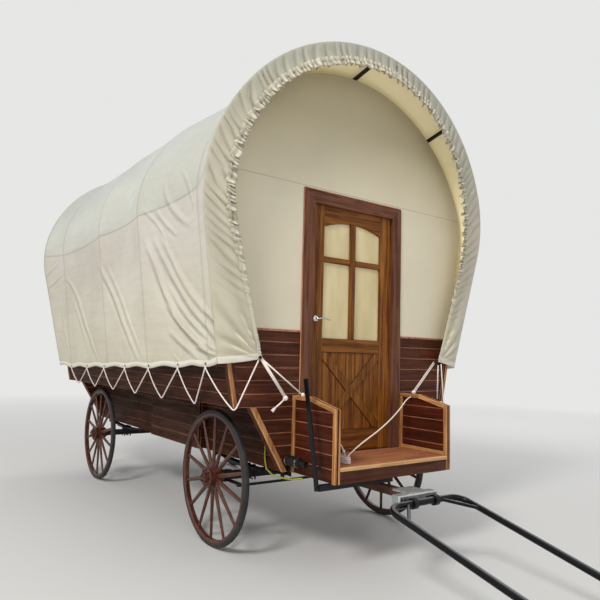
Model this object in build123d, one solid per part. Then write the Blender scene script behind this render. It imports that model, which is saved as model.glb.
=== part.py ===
"""Covered wagon: a plank cabin with a canvas roof on bows, a front porch, spoked wheels and shafts.

Millimetres. +X is the travel direction, +Y the wagon's left side, +Z up, and the ground is Z = 0.
Lengths along the wagon are written from the rear axle. The finished model is then moved along X,
so that the origin lies on the ground under the middle of the whole wagon.
"""
from build123d import *
from dataclasses import dataclass
from math import atan, cos, hypot, radians, sin, sqrt, tan
import os

# Running gear
wheel_d = 1067
wheel_w = 45
tyre_t = 35
tyre_fit = 0.3
felloe_t = 21
tyre_crown_w = 35
spokes = 14
spoke_w_hub = 46
spoke_w_rim = 32
spoke_t = 30
hub_r = 62
hub_in = 70
hub_out = 52
hub_flange_r = 82
hub_flange_t = 14
hub_cap_r = 40
hub_cap_l = 30
spoke_root = 10
spoke_tip = 4
track = 1869
wheelbase = 2915
beam_s = 60
spindle_r = 25
spindle_fit = 0.05
collar_t = 19
collar_r = 43

# Steering
kingpin_in = 64.5
kingpin_r = 12
kingpin_fit = 0.05
boss_r = 28
boss_gap = 1
boss_l = 45
boss_neck = 22
ear_t = 12
fork_web = 14
fork_gap = 6
arm_l = 180
arm_w = 40
rod_t = 12
rod_w = 40
pin_r = 8
open_eye_fit = 4
yaw_pin_r = 15
yaw_reach = 1265
bar_web = 30
bar_gap = 20
bar_w = 60
head_l = 60
head_w = 390
lug_x = 95
lug_y = 110
lug_w = 40
lug_wall = 14
lug_fit = 0.06
lug_rise = 15
hitch_hole_r = 13
plate_reach = 90
plate_hole_in = 55

# Shafts
shaft_r = 24
shaft_half = 370
shaft_bend = 110
shaft_slope = 0.25
brace_r = 12
brace_reach = 210
brace_sink = 19

# Springs and chassis
spring_y = 600
spring_w = 60
spring_span = 1080
spring_rise = 25
leaf_t = 8
leaf_steps = (1.0, 0.72, 0.46)
pad_t = 10
eye_r = 12
eye_pin_r = 7
eye_fit = 0.1
cheek_t = 6
cheek_half = 22
cheek_low = 20
rail_w = 50
rail_h = 60
rail_top = 700
cross_w = 60
rail_inset = 30
cross_inset = 60
inner_crosses = 2
notch_fit = 5
bearer_w = 45

# Body
front_overhang = 600
rear_overhang = 750
wall_t = 60
side_t = 45
lower_t = 50
lower_half = 690
lower_z = 650
floor_t = 50
box_z = 1133
box_half = 1110
box_flare = 0.2
box_top = 1716
shelf_t = 40
facade_half = 980
skirt_out = 770
skirt_t = 25
skirt_back = 625
skirt_ahead = 1190
skirt_z = 655
cap_h = 30
cap_w = 76
cap_lip = 19.4
trim_w = 45
trim_t = 12

# Door
door_half = 538
door_top = 2856
jamb_w = 86
stop_w = 15
stop_t = 28
frame_proud = 15
leaf_t_door = 42
leaf_gap = 5
stile_w = 134
light_z0 = 1666
light_side = 2580
light_rise = 60
muntin_v = 60
muntin_h = 46
cross_z = 2310
panel_z0 = 930
panel_z1 = 1554
panel_deep = 10
brace_w = 75
glass_t = 6
glass_fit = 0.3
hinge_r = 8
hinge_l = 40
hinge_fit = 0.5
hinge_flap = 30
hinge_zs = (1000, 1760, 2520)
handle_z = 1818
handle_y = 390
rose_r = 26
rose_t = 9
lever_r = 9
lever_l = 150
lever_out = 45
handle_hole_fit = 1

# Porch
porch_l = 522
porch_half = 604
deck_z = 752
deck_t = 25
nosing = 12
fascia_t = 25
rail_back_z = 1218
rail_flat = 225
rail_front_z = 1150
core_t = 20
strip_t = 15
strip_w = 42

# Brake
lever_back = 63
lever_y = 700
lever_foot_z = 600
lever_top_z = 1354
lever_lean = 158
lever_w = 40
lever_t = 12
outrigger_s = 40
cylinder_r = 22
cylinder_l = 255
cylinder_y = 668
cylinder_z = 745
rod_r = 8
clevis_s = 26

# Canvas and its bows
section_z = 1500
bow_out = 173.4
mid_crown = 4020
mid_shoulder_drop = 1220
mid_shoulder_r = 900
wall_drop = 70
wall_bow_back = 155
bow_1_back = 1365
bow_2_back = 2465
bow_3_ahead = 400
hem_1 = 1370
hem_2 = 1340
hem_3 = 1300
hoop_spread = 100
hoop_rise = 40
hoop_shoulder_drop = 1360
hoop_shoulder_r = 1080
hoop_ahead = 25
rim_in = 227
rim_fall = 119
rim_shoulder_drop = 1230
rim_shoulder_r = 1000
rim_ahead = 95
hoop_t = 14
rim_t = 24
canvas_t = 6
bow_gap = 1.7
bow_t = 40
bow_w = 40
end_bow_inset = 42
end_bow_t = 30
purlin_s = 25
purlin_ys = (-930, 0, 930)
bracket_z0 = 1500
bracket_z1 = 1560
bracket_gap = 0.3
bracket_reach = 28
bracket_lap = 21
wall_inset = 10

# Rope
rope_d = 14
rope_min_r = 45
hank_l = 190
hank_w = 85
hank_h = 32
hank_soft = 12

wheel_r = wheel_d / 2
axle_z = wheel_r
beam_top = axle_z + beam_s / 2
beam_low = axle_z - beam_s / 2
wheel_y = track / 2
kingpin_y = wheel_y - hub_in - kingpin_in
front_x = wheelbase + front_overhang
rear_x = -rear_overhang
porch_x = front_x + porch_l
lever_x = porch_x - lever_back
skirt_rear = skirt_ahead
skirt_front = wheelbase - skirt_back
rail_low = rail_top - rail_h
fascia_z = rail_low
door_z = rail_top + floor_t
in_x0 = rear_x + wall_t
in_x1 = front_x - wall_t
box_top_half = box_half + (box_top - box_z) * box_flare
cap_out = box_top_half + cap_lip
cap_in = cap_out - cap_w
mid_half_w = box_top_half + bow_out
mid_shoulder_z = mid_crown - mid_shoulder_drop
hoop_half_w = mid_half_w + hoop_spread
hoop_crown = mid_crown + hoop_rise
hoop_shoulder_z = hoop_crown - hoop_shoulder_drop
rim_half_w = hoop_half_w - rim_in
rim_crown = hoop_crown - rim_fall
rim_shoulder_z = rim_crown - rim_shoulder_drop
mid_x = (front_x + rear_x) / 2


def block(x0, x1, y0, y1, z0, z1):
    """A box between two corners."""
    return Pos((x0 + x1) / 2, (y0 + y1) / 2, (z0 + z1) / 2) * Box(x1 - x0, y1 - y0, z1 - z0)


def prism_x(points, x0, x1):
    """A (Y, Z) polygon extruded from x0 to x1."""
    face = Plane.YZ * make_face(Polyline(*points, close=True))
    return Pos(x0, 0, 0) * extrude(face, amount=x1 - x0, dir=(1, 0, 0))


def prism_y(points, y0, y1):
    """An (X, Z) polygon extruded from y0 to y1."""
    face = Plane.XZ * make_face(Polyline(*points, close=True))
    return Pos(0, y0, 0) * extrude(face, amount=y1 - y0, dir=(0, 1, 0))


def rod(p0, p1, r):
    """A round bar from point to point."""
    p0, p1 = Vector(p0), Vector(p1)
    return Plane(origin=p0, z_dir=p1 - p0) * Cylinder(
        r, (p1 - p0).length, align=(Align.CENTER, Align.CENTER, Align.MIN))


def square_bar(p0, p1, across, deep, side=(0, 1, 0)):
    """A square bar from point to point, its first side along `side`."""
    p0, p1 = Vector(p0), Vector(p1)
    return Plane(origin=p0, x_dir=side, z_dir=p1 - p0) * Box(
        across, deep, (p1 - p0).length, align=(Align.CENTER, Align.CENTER, Align.MIN))


def pin_y(x, z, y0, y1, r):
    """A round pin along Y."""
    return rod((x, y0, z), (x, y1, z), r)


def pin_z(x, y, z0, z1, r):
    """A round pin along Z."""
    return rod((x, y, z0), (x, y, z1), r)


def other_side(shape):
    """The same piece on the other side of the wagon."""
    return mirror(shape, about=Plane.XZ)


def pair(shape):
    """A piece of the right side with its twin on the left, as two loose solids."""
    return Compound(children=solids_of(shape) + solids_of(other_side(shape)))


def solids_of(shape):
    return list(shape.solids())


@dataclass
class Section:
    """One cross-section of the canvas: two straight legs, two shoulders and a flatter crown."""
    x: float
    lean: float
    half_w: float
    crown: float
    shoulder_z: float
    shoulder_r: float
    slope: float
    hem_z: float
    thick: float

    @property
    def tilt(self):
        return atan(self.lean)

    def v(self, z):
        return (z - section_z) / cos(self.tilt)

    @property
    def plane(self):
        t = self.tilt
        return Plane(origin=(self.x, 0, section_z), x_dir=(0, 1, 0), z_dir=(cos(t), 0, -sin(t)))

    @property
    def arcs(self):
        """Shoulder centre, crown centre height and crown radius, in the section's own plane."""
        cy = self.half_w - self.shoulder_r
        cv = self.v(self.shoulder_z)
        rise = self.v(self.crown) - cv
        crown_r = (cy**2 + rise**2 - self.shoulder_r**2) / (2 * (rise - self.shoulder_r))
        return cy, cv, self.v(self.crown) - crown_r, crown_r

    def outline(self, inset, foot_z):
        """The edges from the left foot (+Y) over the crown to the right foot."""
        cy, cv, c1, crown_r = self.arcs
        r2, r1 = self.shoulder_r - inset, crown_r - inset
        leg = -atan(self.slope)
        join = atan((cv - c1) / cy)
        half = (join + leg) / 2

        def on_shoulder(a):
            return cy + r2 * cos(a), cv + r2 * sin(a)

        low, high = on_shoulder(leg), on_shoulder(join)
        foot_v = self.v(foot_z)
        foot = (low[0] - (low[1] - foot_v) * self.slope, foot_v)
        flip = lambda p: (-p[0], p[1])
        mid = on_shoulder(half)
        return [Line(foot, low), ThreePointArc(low, mid, high),
                ThreePointArc(high, (0, c1 + r1), flip(high)),
                ThreePointArc(flip(high), flip(mid), flip(low)), Line(flip(low), flip(foot))]

    def closed(self, inset, foot_z):
        """The whole area under the outline, down to the foot line."""
        edges = self.outline(inset, foot_z)
        return self.plane * make_face(edges + [Line(edges[-1] @ 1, edges[0] @ 0)])

    def ring(self, inset, thick, foot_z):
        """The strip between two outlines."""
        outer = self.outline(inset, foot_z)
        inner = self.outline(inset + thick, foot_z)
        ends = [Line(outer[-1] @ 1, inner[-1] @ 1), Line(inner[0] @ 0, outer[0] @ 0)]
        return self.plane * make_face(outer + inner + ends)

    def at(self, y, inset):
        """The point of the inset outline at a given Y, over the shoulders."""
        cy, cv, c1, crown_r = self.arcs
        r1, r2 = crown_r - inset, self.shoulder_r - inset
        join = atan((cv - c1) / cy)
        if abs(y) <= cy + r2 * cos(join):
            v = c1 + sqrt(r1**2 - y**2)
        else:
            v = cv + sqrt(r2**2 - (abs(y) - cy)**2)
        return self.plane.from_local_coords((y, v, 0))

    def leg_y(self, z, inset):
        """Half width of the inset outline on its straight leg."""
        foot = self.outline(inset, z)[0] @ 0
        return foot.X


def mirrored(section, hem_z):
    """The same section at the wagon's other end."""
    return Section(2 * mid_x - section.x, -section.lean, section.half_w, section.crown,
                   section.shoulder_z, section.shoulder_r, section.slope, hem_z, section.thick)


front_rim = Section(front_x + rim_ahead, 0.09, rim_half_w, rim_crown, rim_shoulder_z, rim_shoulder_r,
                    0.30, 1500, rim_t)
front_hoop = Section(front_x + hoop_ahead, 0.10, hoop_half_w, hoop_crown, hoop_shoulder_z, hoop_shoulder_r,
                     0.20, 1445, hoop_t)
wall_bow = Section(front_x - wall_bow_back, 0, mid_half_w, mid_crown - wall_drop, mid_shoulder_z - wall_drop,
                   mid_shoulder_r, 0.13, 1420, canvas_t)
#             x, hem_z
bow_table = ((front_x - bow_1_back, hem_1), (front_x - bow_2_back, hem_2), (rear_x + bow_3_ahead, hem_3))
mid_bows = [Section(x, 0, mid_half_w, mid_crown, mid_shoulder_z, mid_shoulder_r, 0.13, hem, canvas_t)
            for x, hem in bow_table]
rear_hoop = mirrored(front_hoop, 1320)
rear_rim = mirrored(front_rim, 1400)

# The shafts run down to the ground, and set the front end of the wagon.
head_x = wheelbase + yaw_reach
cross_x = head_x + head_l / 2 + lug_x
cross_bar_z = beam_low + lug_rise
shaft_angle = atan(shaft_slope)
shaft_l = (cross_bar_z - shaft_r) / sin(shaft_angle)
tip_x = cross_x + shaft_l * cos(shaft_angle) + shaft_r
tail_x = min(rear_hoop.at(0, 0).X, rear_rim.at(0, 0).X)
origin_x = (tip_x + tail_x) / 2


def wheel():
    """A right-hand wheel at its own centre: hub, spokes and felloe welded in one."""
    rim_r = wheel_r - tyre_t - tyre_fit
    in_r = rim_r - felloe_t
    felloe = pin_y(0, 0, -wheel_w / 2, wheel_w / 2, rim_r) - pin_y(0, 0, -wheel_w, wheel_w, in_r)
    hub = pin_y(0, 0, -hub_out, hub_in, hub_r)
    hub += pin_y(0, 0, -hub_out - hub_flange_t, -hub_out, hub_flange_r)
    hub += pin_y(0, 0, -hub_out - hub_flange_t - hub_cap_l, -hub_out, hub_cap_r)
    root, tip = hub_r - spoke_root, in_r + spoke_tip
    spoke = prism_y([(-spoke_w_hub / 2, root), (spoke_w_hub / 2, root),
                     (spoke_w_rim / 2, tip), (-spoke_w_rim / 2, tip)],
                    -spoke_t / 2, spoke_t / 2)
    body = felloe + hub
    body += [Rot(0, i * 360 / spokes, 0) * spoke for i in range(spokes)]
    return body - pin_y(0, 0, -hub_out, hub_in, spindle_r + spindle_fit)


def tyre():
    """The rubber band round the felloe, narrower at its tread than at its seat."""
    seat_r = wheel_r - tyre_t
    face = make_face(Polyline((seat_r, -wheel_w / 2), (wheel_r, -tyre_crown_w / 2),
                              (wheel_r, tyre_crown_w / 2), (seat_r, wheel_w / 2), close=True))
    return revolve(face, Axis.Y)


def spindle(shoulder_y):
    """The round end of an axle on the right side, with its collar."""
    collar = pin_y(0, axle_z, -wheel_y + hub_in + tyre_fit, shoulder_y, collar_r)
    return collar + pin_y(0, axle_z, -wheel_y - hub_out + tyre_fit, shoulder_y, spindle_r)


def leaf_spring():
    """One leaf pack over the axle at X = 0, eyes at both ends, on its axle pad."""
    half = spring_span / 2
    radius = (half**2 + spring_rise**2) / (2 * spring_rise)
    base = beam_top + pad_t
    centre_z = base + radius
    steps = len(leaf_steps)
    pack = None
    for i, share in enumerate(reversed(leaf_steps)):
        r_out, r_in = radius - i * leaf_t, radius - (i + 1) * leaf_t
        a = (half * share) / radius
        outer = [(r * sin(t), centre_z - r * cos(t)) for r, t in
                 ((r_out, -a), (r_out, 0), (r_out, a), (r_in, a), (r_in, 0), (r_in, -a))]
        edges = [ThreePointArc(*outer[:3]), Line(outer[2], outer[3]),
                 ThreePointArc(*outer[3:]), Line(outer[5], outer[0])]
        leaf = Pos(0, -spring_w / 2, 0) * extrude(
            Plane.XZ * make_face(edges), amount=spring_w, dir=(0, 1, 0))
        pack = leaf if pack is None else pack + leaf
    eye_x, eye_z = eye_place()
    for side in (-1, 1):
        pack += pin_y(side * eye_x, eye_z, -spring_w / 2, spring_w / 2, eye_r)
    for side in (-1, 1):
        pack -= pin_y(side * eye_x, eye_z, -spring_w, spring_w, eye_pin_r + eye_fit)
    pack += block(-spring_w, spring_w, -spring_w / 2, spring_w / 2, beam_top, base + leaf_t)
    return Pos(0, -spring_y, 0) * pack


def eye_place():
    """The spring eye's X from the axle and its height."""
    half = spring_span / 2
    radius = (half**2 + spring_rise**2) / (2 * spring_rise)
    leaf_r = radius - (len(leaf_steps) - 0.5) * leaf_t
    a = half / radius
    return leaf_r * sin(a), beam_top + pad_t + radius - leaf_r * cos(a)


def rear_axle():
    """A square beam with a spindle at each end."""
    end = wheel_y - hub_in - collar_t
    half = spindle(-end)
    return block(-beam_s / 2, beam_s / 2, -end, end, beam_low, beam_top) + half + other_side(half)


def front_axle():
    """The steered axle's beam: a kingpin boss at each end and the yaw pin's bore in the middle."""
    x = wheelbase
    beam = block(x - beam_s / 2, x + beam_s / 2, -kingpin_y, kingpin_y, beam_low, beam_top)
    for side in (-1, 1):
        y = side * kingpin_y
        y0, y1 = sorted((y, y - side * boss_l))
        clip = block(x - beam_s, x + beam_s, y0, y1, beam_low, beam_top)
        beam -= clip - block(x - boss_neck, x + boss_neck, y0, y1, beam_low, beam_top)
        beam += pin_z(x, y, beam_low, beam_top, boss_r)
        beam -= pin_z(x, y, beam_low - 1, beam_top + 1, kingpin_r + kingpin_fit)
    return beam - pin_z(x, 0, beam_low - 1, beam_top + 1, yaw_pin_r + kingpin_fit)


def knuckle():
    """The right knuckle: a fork round the boss, its kingpin, spindle and steering arm."""
    x, y = wheelbase, -kingpin_y
    low, high = beam_low - boss_gap, beam_top + boss_gap
    web_y = y - boss_r - fork_gap
    web_end = web_y - fork_web
    ear = pin_z(x, y, 0, ear_t, beam_s / 2)
    ear += block(x - beam_s / 2, x + beam_s / 2, web_end, y, 0, ear_t)
    fork = Pos(0, 0, high) * ear + Pos(0, 0, low - ear_t) * ear
    fork += block(x - beam_s / 2, x + beam_s / 2, web_end, web_y, low - ear_t, high + ear_t)
    fork += pin_z(x, y, low - ear_t, high + ear_t, kingpin_r)
    fork += Pos(x, 0, 0) * spindle(web_end)
    arm = block(x, x + arm_l, y - arm_w / 2, y + arm_w / 2, low - ear_t, low)
    arm += pin_z(x + arm_l, y, low - ear_t, low, arm_w / 2)
    fork += arm
    return fork


def arm_z():
    """The steering arm's underside."""
    return beam_low - boss_gap - ear_t


def tie_rod():
    """The bar under both steering arms, with a pin up into each arm and into the drawbar."""
    x = wheelbase + arm_l
    top = arm_z() - boss_gap
    bar = block(x - rod_w / 2, x + rod_w / 2, -kingpin_y, kingpin_y, top - rod_t, top)
    for y in (-kingpin_y, 0, kingpin_y):
        bar += pin_z(x, y, top - rod_t, top, rod_w / 2)
        bar += pin_z(x, y, top, arm_z() + ear_t, pin_r)
    return bar


def drawbar():
    """The yawing bar: a fork on the axle's middle, the bar, and the galvanised head with two lugs."""
    x = wheelbase
    low, high = beam_low - boss_gap, beam_top + boss_gap
    web_x = x + beam_s / 2 + bar_gap
    plate = block(x, web_x + bar_web, -bar_w / 2, bar_w / 2, 0, ear_t) + pin_z(x, 0, 0, ear_t, bar_w / 2)
    bar = Pos(0, 0, high) * plate + Pos(0, 0, low - ear_t) * plate
    bar += pin_z(x, 0, low - ear_t, high + ear_t, yaw_pin_r)
    bar += block(web_x, web_x + bar_web, -bar_w / 2, bar_w / 2, low - ear_t, high + ear_t)
    bar += block(web_x, head_x, -bar_w / 2, bar_w / 2, beam_low, beam_top)
    eye_x = x + arm_l
    bar += block(web_x, eye_x + arm_w, -bar_w / 2, bar_w / 2, low - ear_t, beam_low)
    bar -= pin_z(eye_x, 0, low - ear_t - 1, low + boss_gap + ear_t, pin_r + open_eye_fit)
    return bar


def drawbar_head():
    """The cross box at the drawbar's front, its two lugs round the shafts' cross bar, and the hitch plate."""
    x0, x1 = head_x, head_x + head_l
    head = block(x0, x1, -head_w / 2, head_w / 2, beam_low, beam_top)
    for side in (-1, 1):
        y0, y1 = side * lug_y - lug_w / 2, side * lug_y + lug_w / 2
        lug = pin_y(cross_x, cross_bar_z, y0, y1, shaft_r + lug_wall)
        lug += block(x1, cross_x, y0, y1, beam_low, beam_low + 2 * lug_wall)
        head += lug - pin_y(cross_x, cross_bar_z, y0 - 1, y1 + 1, shaft_r + lug_fit)
    plate = block(x0 - plate_reach, x0, -head_w / 4, head_w / 4, beam_top, beam_top + ear_t)
    plate += block(x0, x1, -head_w / 4, head_w / 4, beam_top, beam_top + ear_t)
    hole = pin_z(x0 - plate_hole_in, head_w / 8, beam_top - 1, beam_top + ear_t + 1, hitch_hole_r)
    return head + (plate - hole)


def shafts():
    """The U of capped steel tube: a cross bar in the lugs, two shafts down to the ground, braces."""
    tilt = Plane(origin=(cross_x, 0, cross_bar_z), x_dir=(cos(shaft_angle), 0, -sin(shaft_angle)),
                 z_dir=(sin(shaft_angle), 0, cos(shaft_angle)))
    l, h = shaft_l, shaft_half
    path = FilletPolyline((l, -h), (0, -h), (0, h), (l, h), radius=shaft_bend)
    start = Plane(origin=(l, -h, 0), z_dir=(-1, 0, 0))
    tube = sweep(start * Circle(shaft_r), path=path)
    for side in (-1, 1):
        cap = Pos(l, side * h, 0) * Sphere(shaft_r)
        tube += cap & Pos(l + shaft_r, side * h, 0) * Box(2 * shaft_r, 3 * shaft_r, 3 * shaft_r)
        inner = Vector(0, side * (h - brace_reach), 0)
        outer = Vector(brace_reach, side * h, 0)
        step = (outer - inner).normalized() * brace_sink
        tube += rod(inner + step, outer - step, brace_r)
    return tilt * tube


def chassis_frame():
    """Two rails, cross members, the brake lever's outrigger and the cheeks that hold the spring pins."""
    front = porch_x - fascia_t
    bearer_y = porch_half - core_t - 2 * strip_t - bearer_w
    rail = block(rear_x + rail_inset, front_x, spring_y - rail_w / 2, spring_y + rail_w / 2,
                 rail_low, rail_top)
    rail += block(front_x - cross_w, front, bearer_y, bearer_y + bearer_w, rail_low, rail_top)
    frame = rail + other_side(rail)
    eye_x, eye_z = eye_place()
    bay = (wheelbase - 2 * eye_x) / (inner_crosses + 1)
    inner = [eye_x + (i + 1) * bay for i in range(inner_crosses)]
    for x in [rear_x + cross_inset, *inner, front_x - cross_w / 2]:
        frame += block(x - cross_w / 2, x + cross_w / 2, -spring_y, spring_y, rail_low, rail_top)
    frame += block(front - cross_w, front, -bearer_y, bearer_y, rail_low, rail_top)
    in_y, out_y = spring_y - spring_w / 2, spring_y + spring_w / 2
    for axle_x in (0, wheelbase):
        for end in (-1, 1):
            x = axle_x + end * eye_x
            for y in (in_y - cheek_t, out_y):
                for side in (-1, 1):
                    y0, y1 = sorted((side * y, side * (y + cheek_t)))
                    frame += block(x - cheek_half, x + cheek_half, y0, y1, eye_z - cheek_low,
                                   rail_low + cheek_low)
            for side in (-1, 1):
                y0, y1 = sorted((side * (in_y - cheek_t), side * (out_y + cheek_t)))
                frame += pin_y(x, eye_z, y0, y1, eye_pin_r)
                frame += block(x - cheek_half, x + cheek_half, y0, y1, rail_low, rail_low + cheek_t)
    foot_x = lever_x
    frame += block(foot_x - outrigger_s / 2, foot_x + outrigger_s / 2, -lever_y, 0,
                   rail_low - outrigger_s, rail_low)
    return frame


def floor():
    return block(in_x0, in_x1, -lower_half + lower_t, lower_half - lower_t, rail_top, door_z)


def lower_wall():
    """The narrow wall beside the wheels, under the wide box."""
    return block(in_x0, in_x1, -lower_half, -lower_half + lower_t, lower_z, box_z)


def skirt():
    """The plank box between the wheels: a face and two ends against the lower wall."""
    x0, x1 = skirt_rear, skirt_front
    outer = block(x0, x1, -skirt_out, -lower_half, skirt_z, box_z)
    return outer - block(x0 + skirt_t, x1 - skirt_t, -skirt_out + skirt_t, -lower_half, skirt_z, box_z)


def box_y(z):
    """The flared side's outer half width."""
    return box_half + (z - box_z) * box_flare


def shelf():
    """The floor of the wide box, over the wheels."""
    return block(in_x0, in_x1, -box_half + side_t, -lower_half + lower_t, box_z, box_z + shelf_t)


def side_wall():
    """The flared plank side of the box."""
    low, top = box_y(box_z), box_y(box_top)
    return prism_x([(-low, box_z), (-top, box_top), (-top + side_t, box_top), (-low + side_t, box_z)],
                   in_x0, in_x1)


def cap_rail():
    """The rail on top of the box side, which carries the bows."""
    return block(in_x0, in_x1, -cap_out, -cap_in, box_top, box_top + cap_h)


def wainscot(x0, x1, has_door):
    """The plank end wall: narrow between the wheels, wide above them."""
    half = [(lower_half, lower_z), (facade_half, box_z), (box_y(box_z), box_z), (box_y(box_top), box_top)]
    points = half + [(-y, z) for y, z in reversed(half)]
    wall = prism_x(points, x0, x1)
    notch = spring_y + spring_w / 2 + cheek_t + notch_fit
    wall -= block(x0 - 1, x1 + 1, -notch, notch, lower_z - 1, rail_top)
    if has_door:
        wall -= block(x0 - 1, x1 + 1, -door_half, door_half, rail_top, box_top + 1)
    return wall


def end_panel(x0, x1, has_door):
    """The arched panel above the planks."""
    outline = Section(0, 0, wall_bow.half_w, wall_bow.crown, wall_bow.shoulder_z,
                      wall_bow.shoulder_r, wall_bow.slope, box_top, canvas_t)
    panel = Pos(x0, 0, 0) * extrude(outline.closed(canvas_t + wall_inset + bow_t / 2, box_top),
                                    amount=x1 - x0, dir=(1, 0, 0))
    if has_door:
        panel -= block(x0 - 1, x1 + 1, -door_half, door_half, box_top - 1, door_top)
    return panel


def door_frame():
    """Jambs, head and sill, with a stop that the leaf closes against."""
    x0, x1 = in_x1, front_x + frame_proud
    inner = door_half - jamb_w
    head_z = door_top - jamb_w
    frame = block(x0, x1, -door_half, door_half, rail_top, door_top)
    frame -= block(x0 - 1, x1 + 1, -inner, inner, door_z, head_z)
    stop = block(x1 - stop_t, x1, -inner, inner, door_z, head_z)
    stop -= block(x0 - 1, x1 + 1, -inner + stop_w, inner - stop_w, door_z - 1, head_z - stop_w)
    frame += stop
    frame -= block(front_x, x1 + 1, -door_half - 1, door_half + 1, rail_top - 1, deck_z)
    y = hinge_y()
    for z in hinge_zs:
        for step in (-1, 1):
            z0 = z + step * (hinge_l + hinge_fit) - hinge_l / 2
            frame += pin_z(hinge_x(), y, z0, z0 + hinge_l, hinge_r)
            frame += block(hinge_x(), x0, y, y + hinge_flap, z0, z0 + hinge_l)
        frame += pin_z(hinge_x(), y, z - hinge_l, z + hinge_l, hinge_r / 2)
    return frame


def hinge_x():
    return in_x1 - hinge_r


def hinge_y():
    return door_half - jamb_w - leaf_gap / 2


def light_outline(y0, y1, z0, inset):
    """One pane's face: straight bottom and sides, and the arch where it reaches the top."""
    half = door_half - jamb_w - leaf_gap - stile_w
    radius = (half**2 + light_rise**2) / (2 * light_rise)
    centre = light_side + light_rise - radius
    top = lambda y: centre + sqrt((radius - inset)**2 - y**2)
    a, b = y0 + inset, y1 - inset
    z = z0 + inset
    return [Line((a, z), (b, z)), Line((b, z), (b, top(b))),
            ThreePointArc((b, top(b)), ((a + b) / 2, top((a + b) / 2)), (a, top(a))),
            Line((a, top(a)), (a, z))]


def panes(inset, x0, x1):
    """The four lights of the door as solids."""
    half = door_half - jamb_w - leaf_gap - stile_w
    result = []
    for y0, y1 in ((-half, -muntin_v / 2), (muntin_v / 2, half)):
        low_z1 = cross_z - muntin_h / 2
        result.append(block(x0, x1, y0 + inset, y1 - inset, light_z0 + inset, low_z1 - inset))
        face = Plane.YZ * make_face(light_outline(y0, y1, cross_z + muntin_h / 2, inset))
        result.append(Pos(x0, 0, 0) * extrude(face, amount=x1 - x0, dir=(1, 0, 0)))
    return result


def door_leaf():
    """The leaf: four lights, a braced panel below, and the hinges' middle knuckles."""
    x0, x1 = in_x1, in_x1 + leaf_t_door
    half = door_half - jamb_w - leaf_gap
    leaf = block(x0, x1, -half, half, door_z + leaf_gap, door_top - jamb_w - leaf_gap)
    for light in panes(0, x0 - 1, x1 + 1):
        leaf -= light
    p = half - stile_w
    for a, b in ((x0, x0 + panel_deep), (x1 - panel_deep, x1)):
        leaf -= block(a, b, -p, p, panel_z0, panel_z1)
    cut = block(x1 - panel_deep, x1, -p, p, panel_z0, panel_z1)
    rise = panel_z1 - panel_z0
    for side in (-1, 1):
        along = Vector(0, side * 2 * p, rise).normalized() * brace_w
        low = Vector(x1 - panel_deep / 2, -side * p, panel_z0)
        high = Vector(x1 - panel_deep / 2, side * p, panel_z1)
        strip = square_bar(low - along, high + along, brace_w, panel_deep, side=(0, rise, -side * 2 * p))
        leaf += strip & cut
    leaf -= rod((x0 - 1, -handle_y, handle_z), (x1 + 1, -handle_y, handle_z), lever_r + handle_hole_fit)
    for z in hinge_zs:
        leaf += pin_z(hinge_x(), hinge_y(), z - hinge_l / 2, z + hinge_l / 2, hinge_r)
        leaf += block(hinge_x(), x0, hinge_y() - hinge_flap, hinge_y(), z - hinge_l / 2, z + hinge_l / 2)
        leaf -= pin_z(hinge_x(), hinge_y(), z - hinge_l, z + hinge_l, hinge_r / 2 + spindle_fit)
    return leaf


def door_glass():
    x = in_x1 + leaf_t_door / 2
    lights = panes(glass_fit, x - glass_t / 2, x + glass_t / 2)
    return Compound(children=[s for light in lights for s in solids_of(light)])


def door_handle():
    """A lever on a round rose, outside and in, on one spindle through the leaf."""
    x0, x1 = in_x1, in_x1 + leaf_t_door
    handle = rod((x0 - lever_out, -handle_y, handle_z), (x1 + lever_out, -handle_y, handle_z), lever_r)
    for face, out in ((x1, 1), (x0, -1)):
        a, b = sorted((face, face + out * rose_t))
        handle += rod((a, -handle_y, handle_z), (b, -handle_y, handle_z), rose_r)
        end = face + out * (lever_out - lever_r)
        handle += rod((end, -handle_y - lever_r, handle_z), (end, -handle_y + lever_l, handle_z), lever_r)
    return handle


def end_trims(face, out):
    """Corner strips of the box and the slanted strips beside the wheels, on one end wall."""
    x0, x1 = sorted((face, face + out * trim_t))
    low, top = box_y(box_z), box_y(box_top)
    front = prism_x([(-low - trim_t, box_z), (-top - trim_t, box_top),
                     (-top + trim_w, box_top), (-low + trim_w, box_z)], x0, x1)
    a, b = sorted((face, face - out * trim_w))
    side = prism_x([(-low - trim_t, box_z), (-top - trim_t, box_top), (-top, box_top), (-low, box_z)], a, b)
    slant = prism_x([(-facade_half, box_z), (-facade_half + trim_w, box_z),
                     (-lower_half + trim_w, lower_z), (-lower_half, lower_z)], x0, x1)
    solids = solids_of(front + side) + solids_of(slant)
    return Compound(children=solids + [s for p in solids for s in solids_of(other_side(p))])


def bow(section, inset, thick, width, shift, foot_z):
    """One bent bow: a strip of the section, as wide along X as the bow."""
    ring = section.ring(inset, thick, foot_z)
    normal = section.plane.z_dir
    return Pos(*(normal * shift)) * extrude(ring, amount=width, dir=normal)


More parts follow.
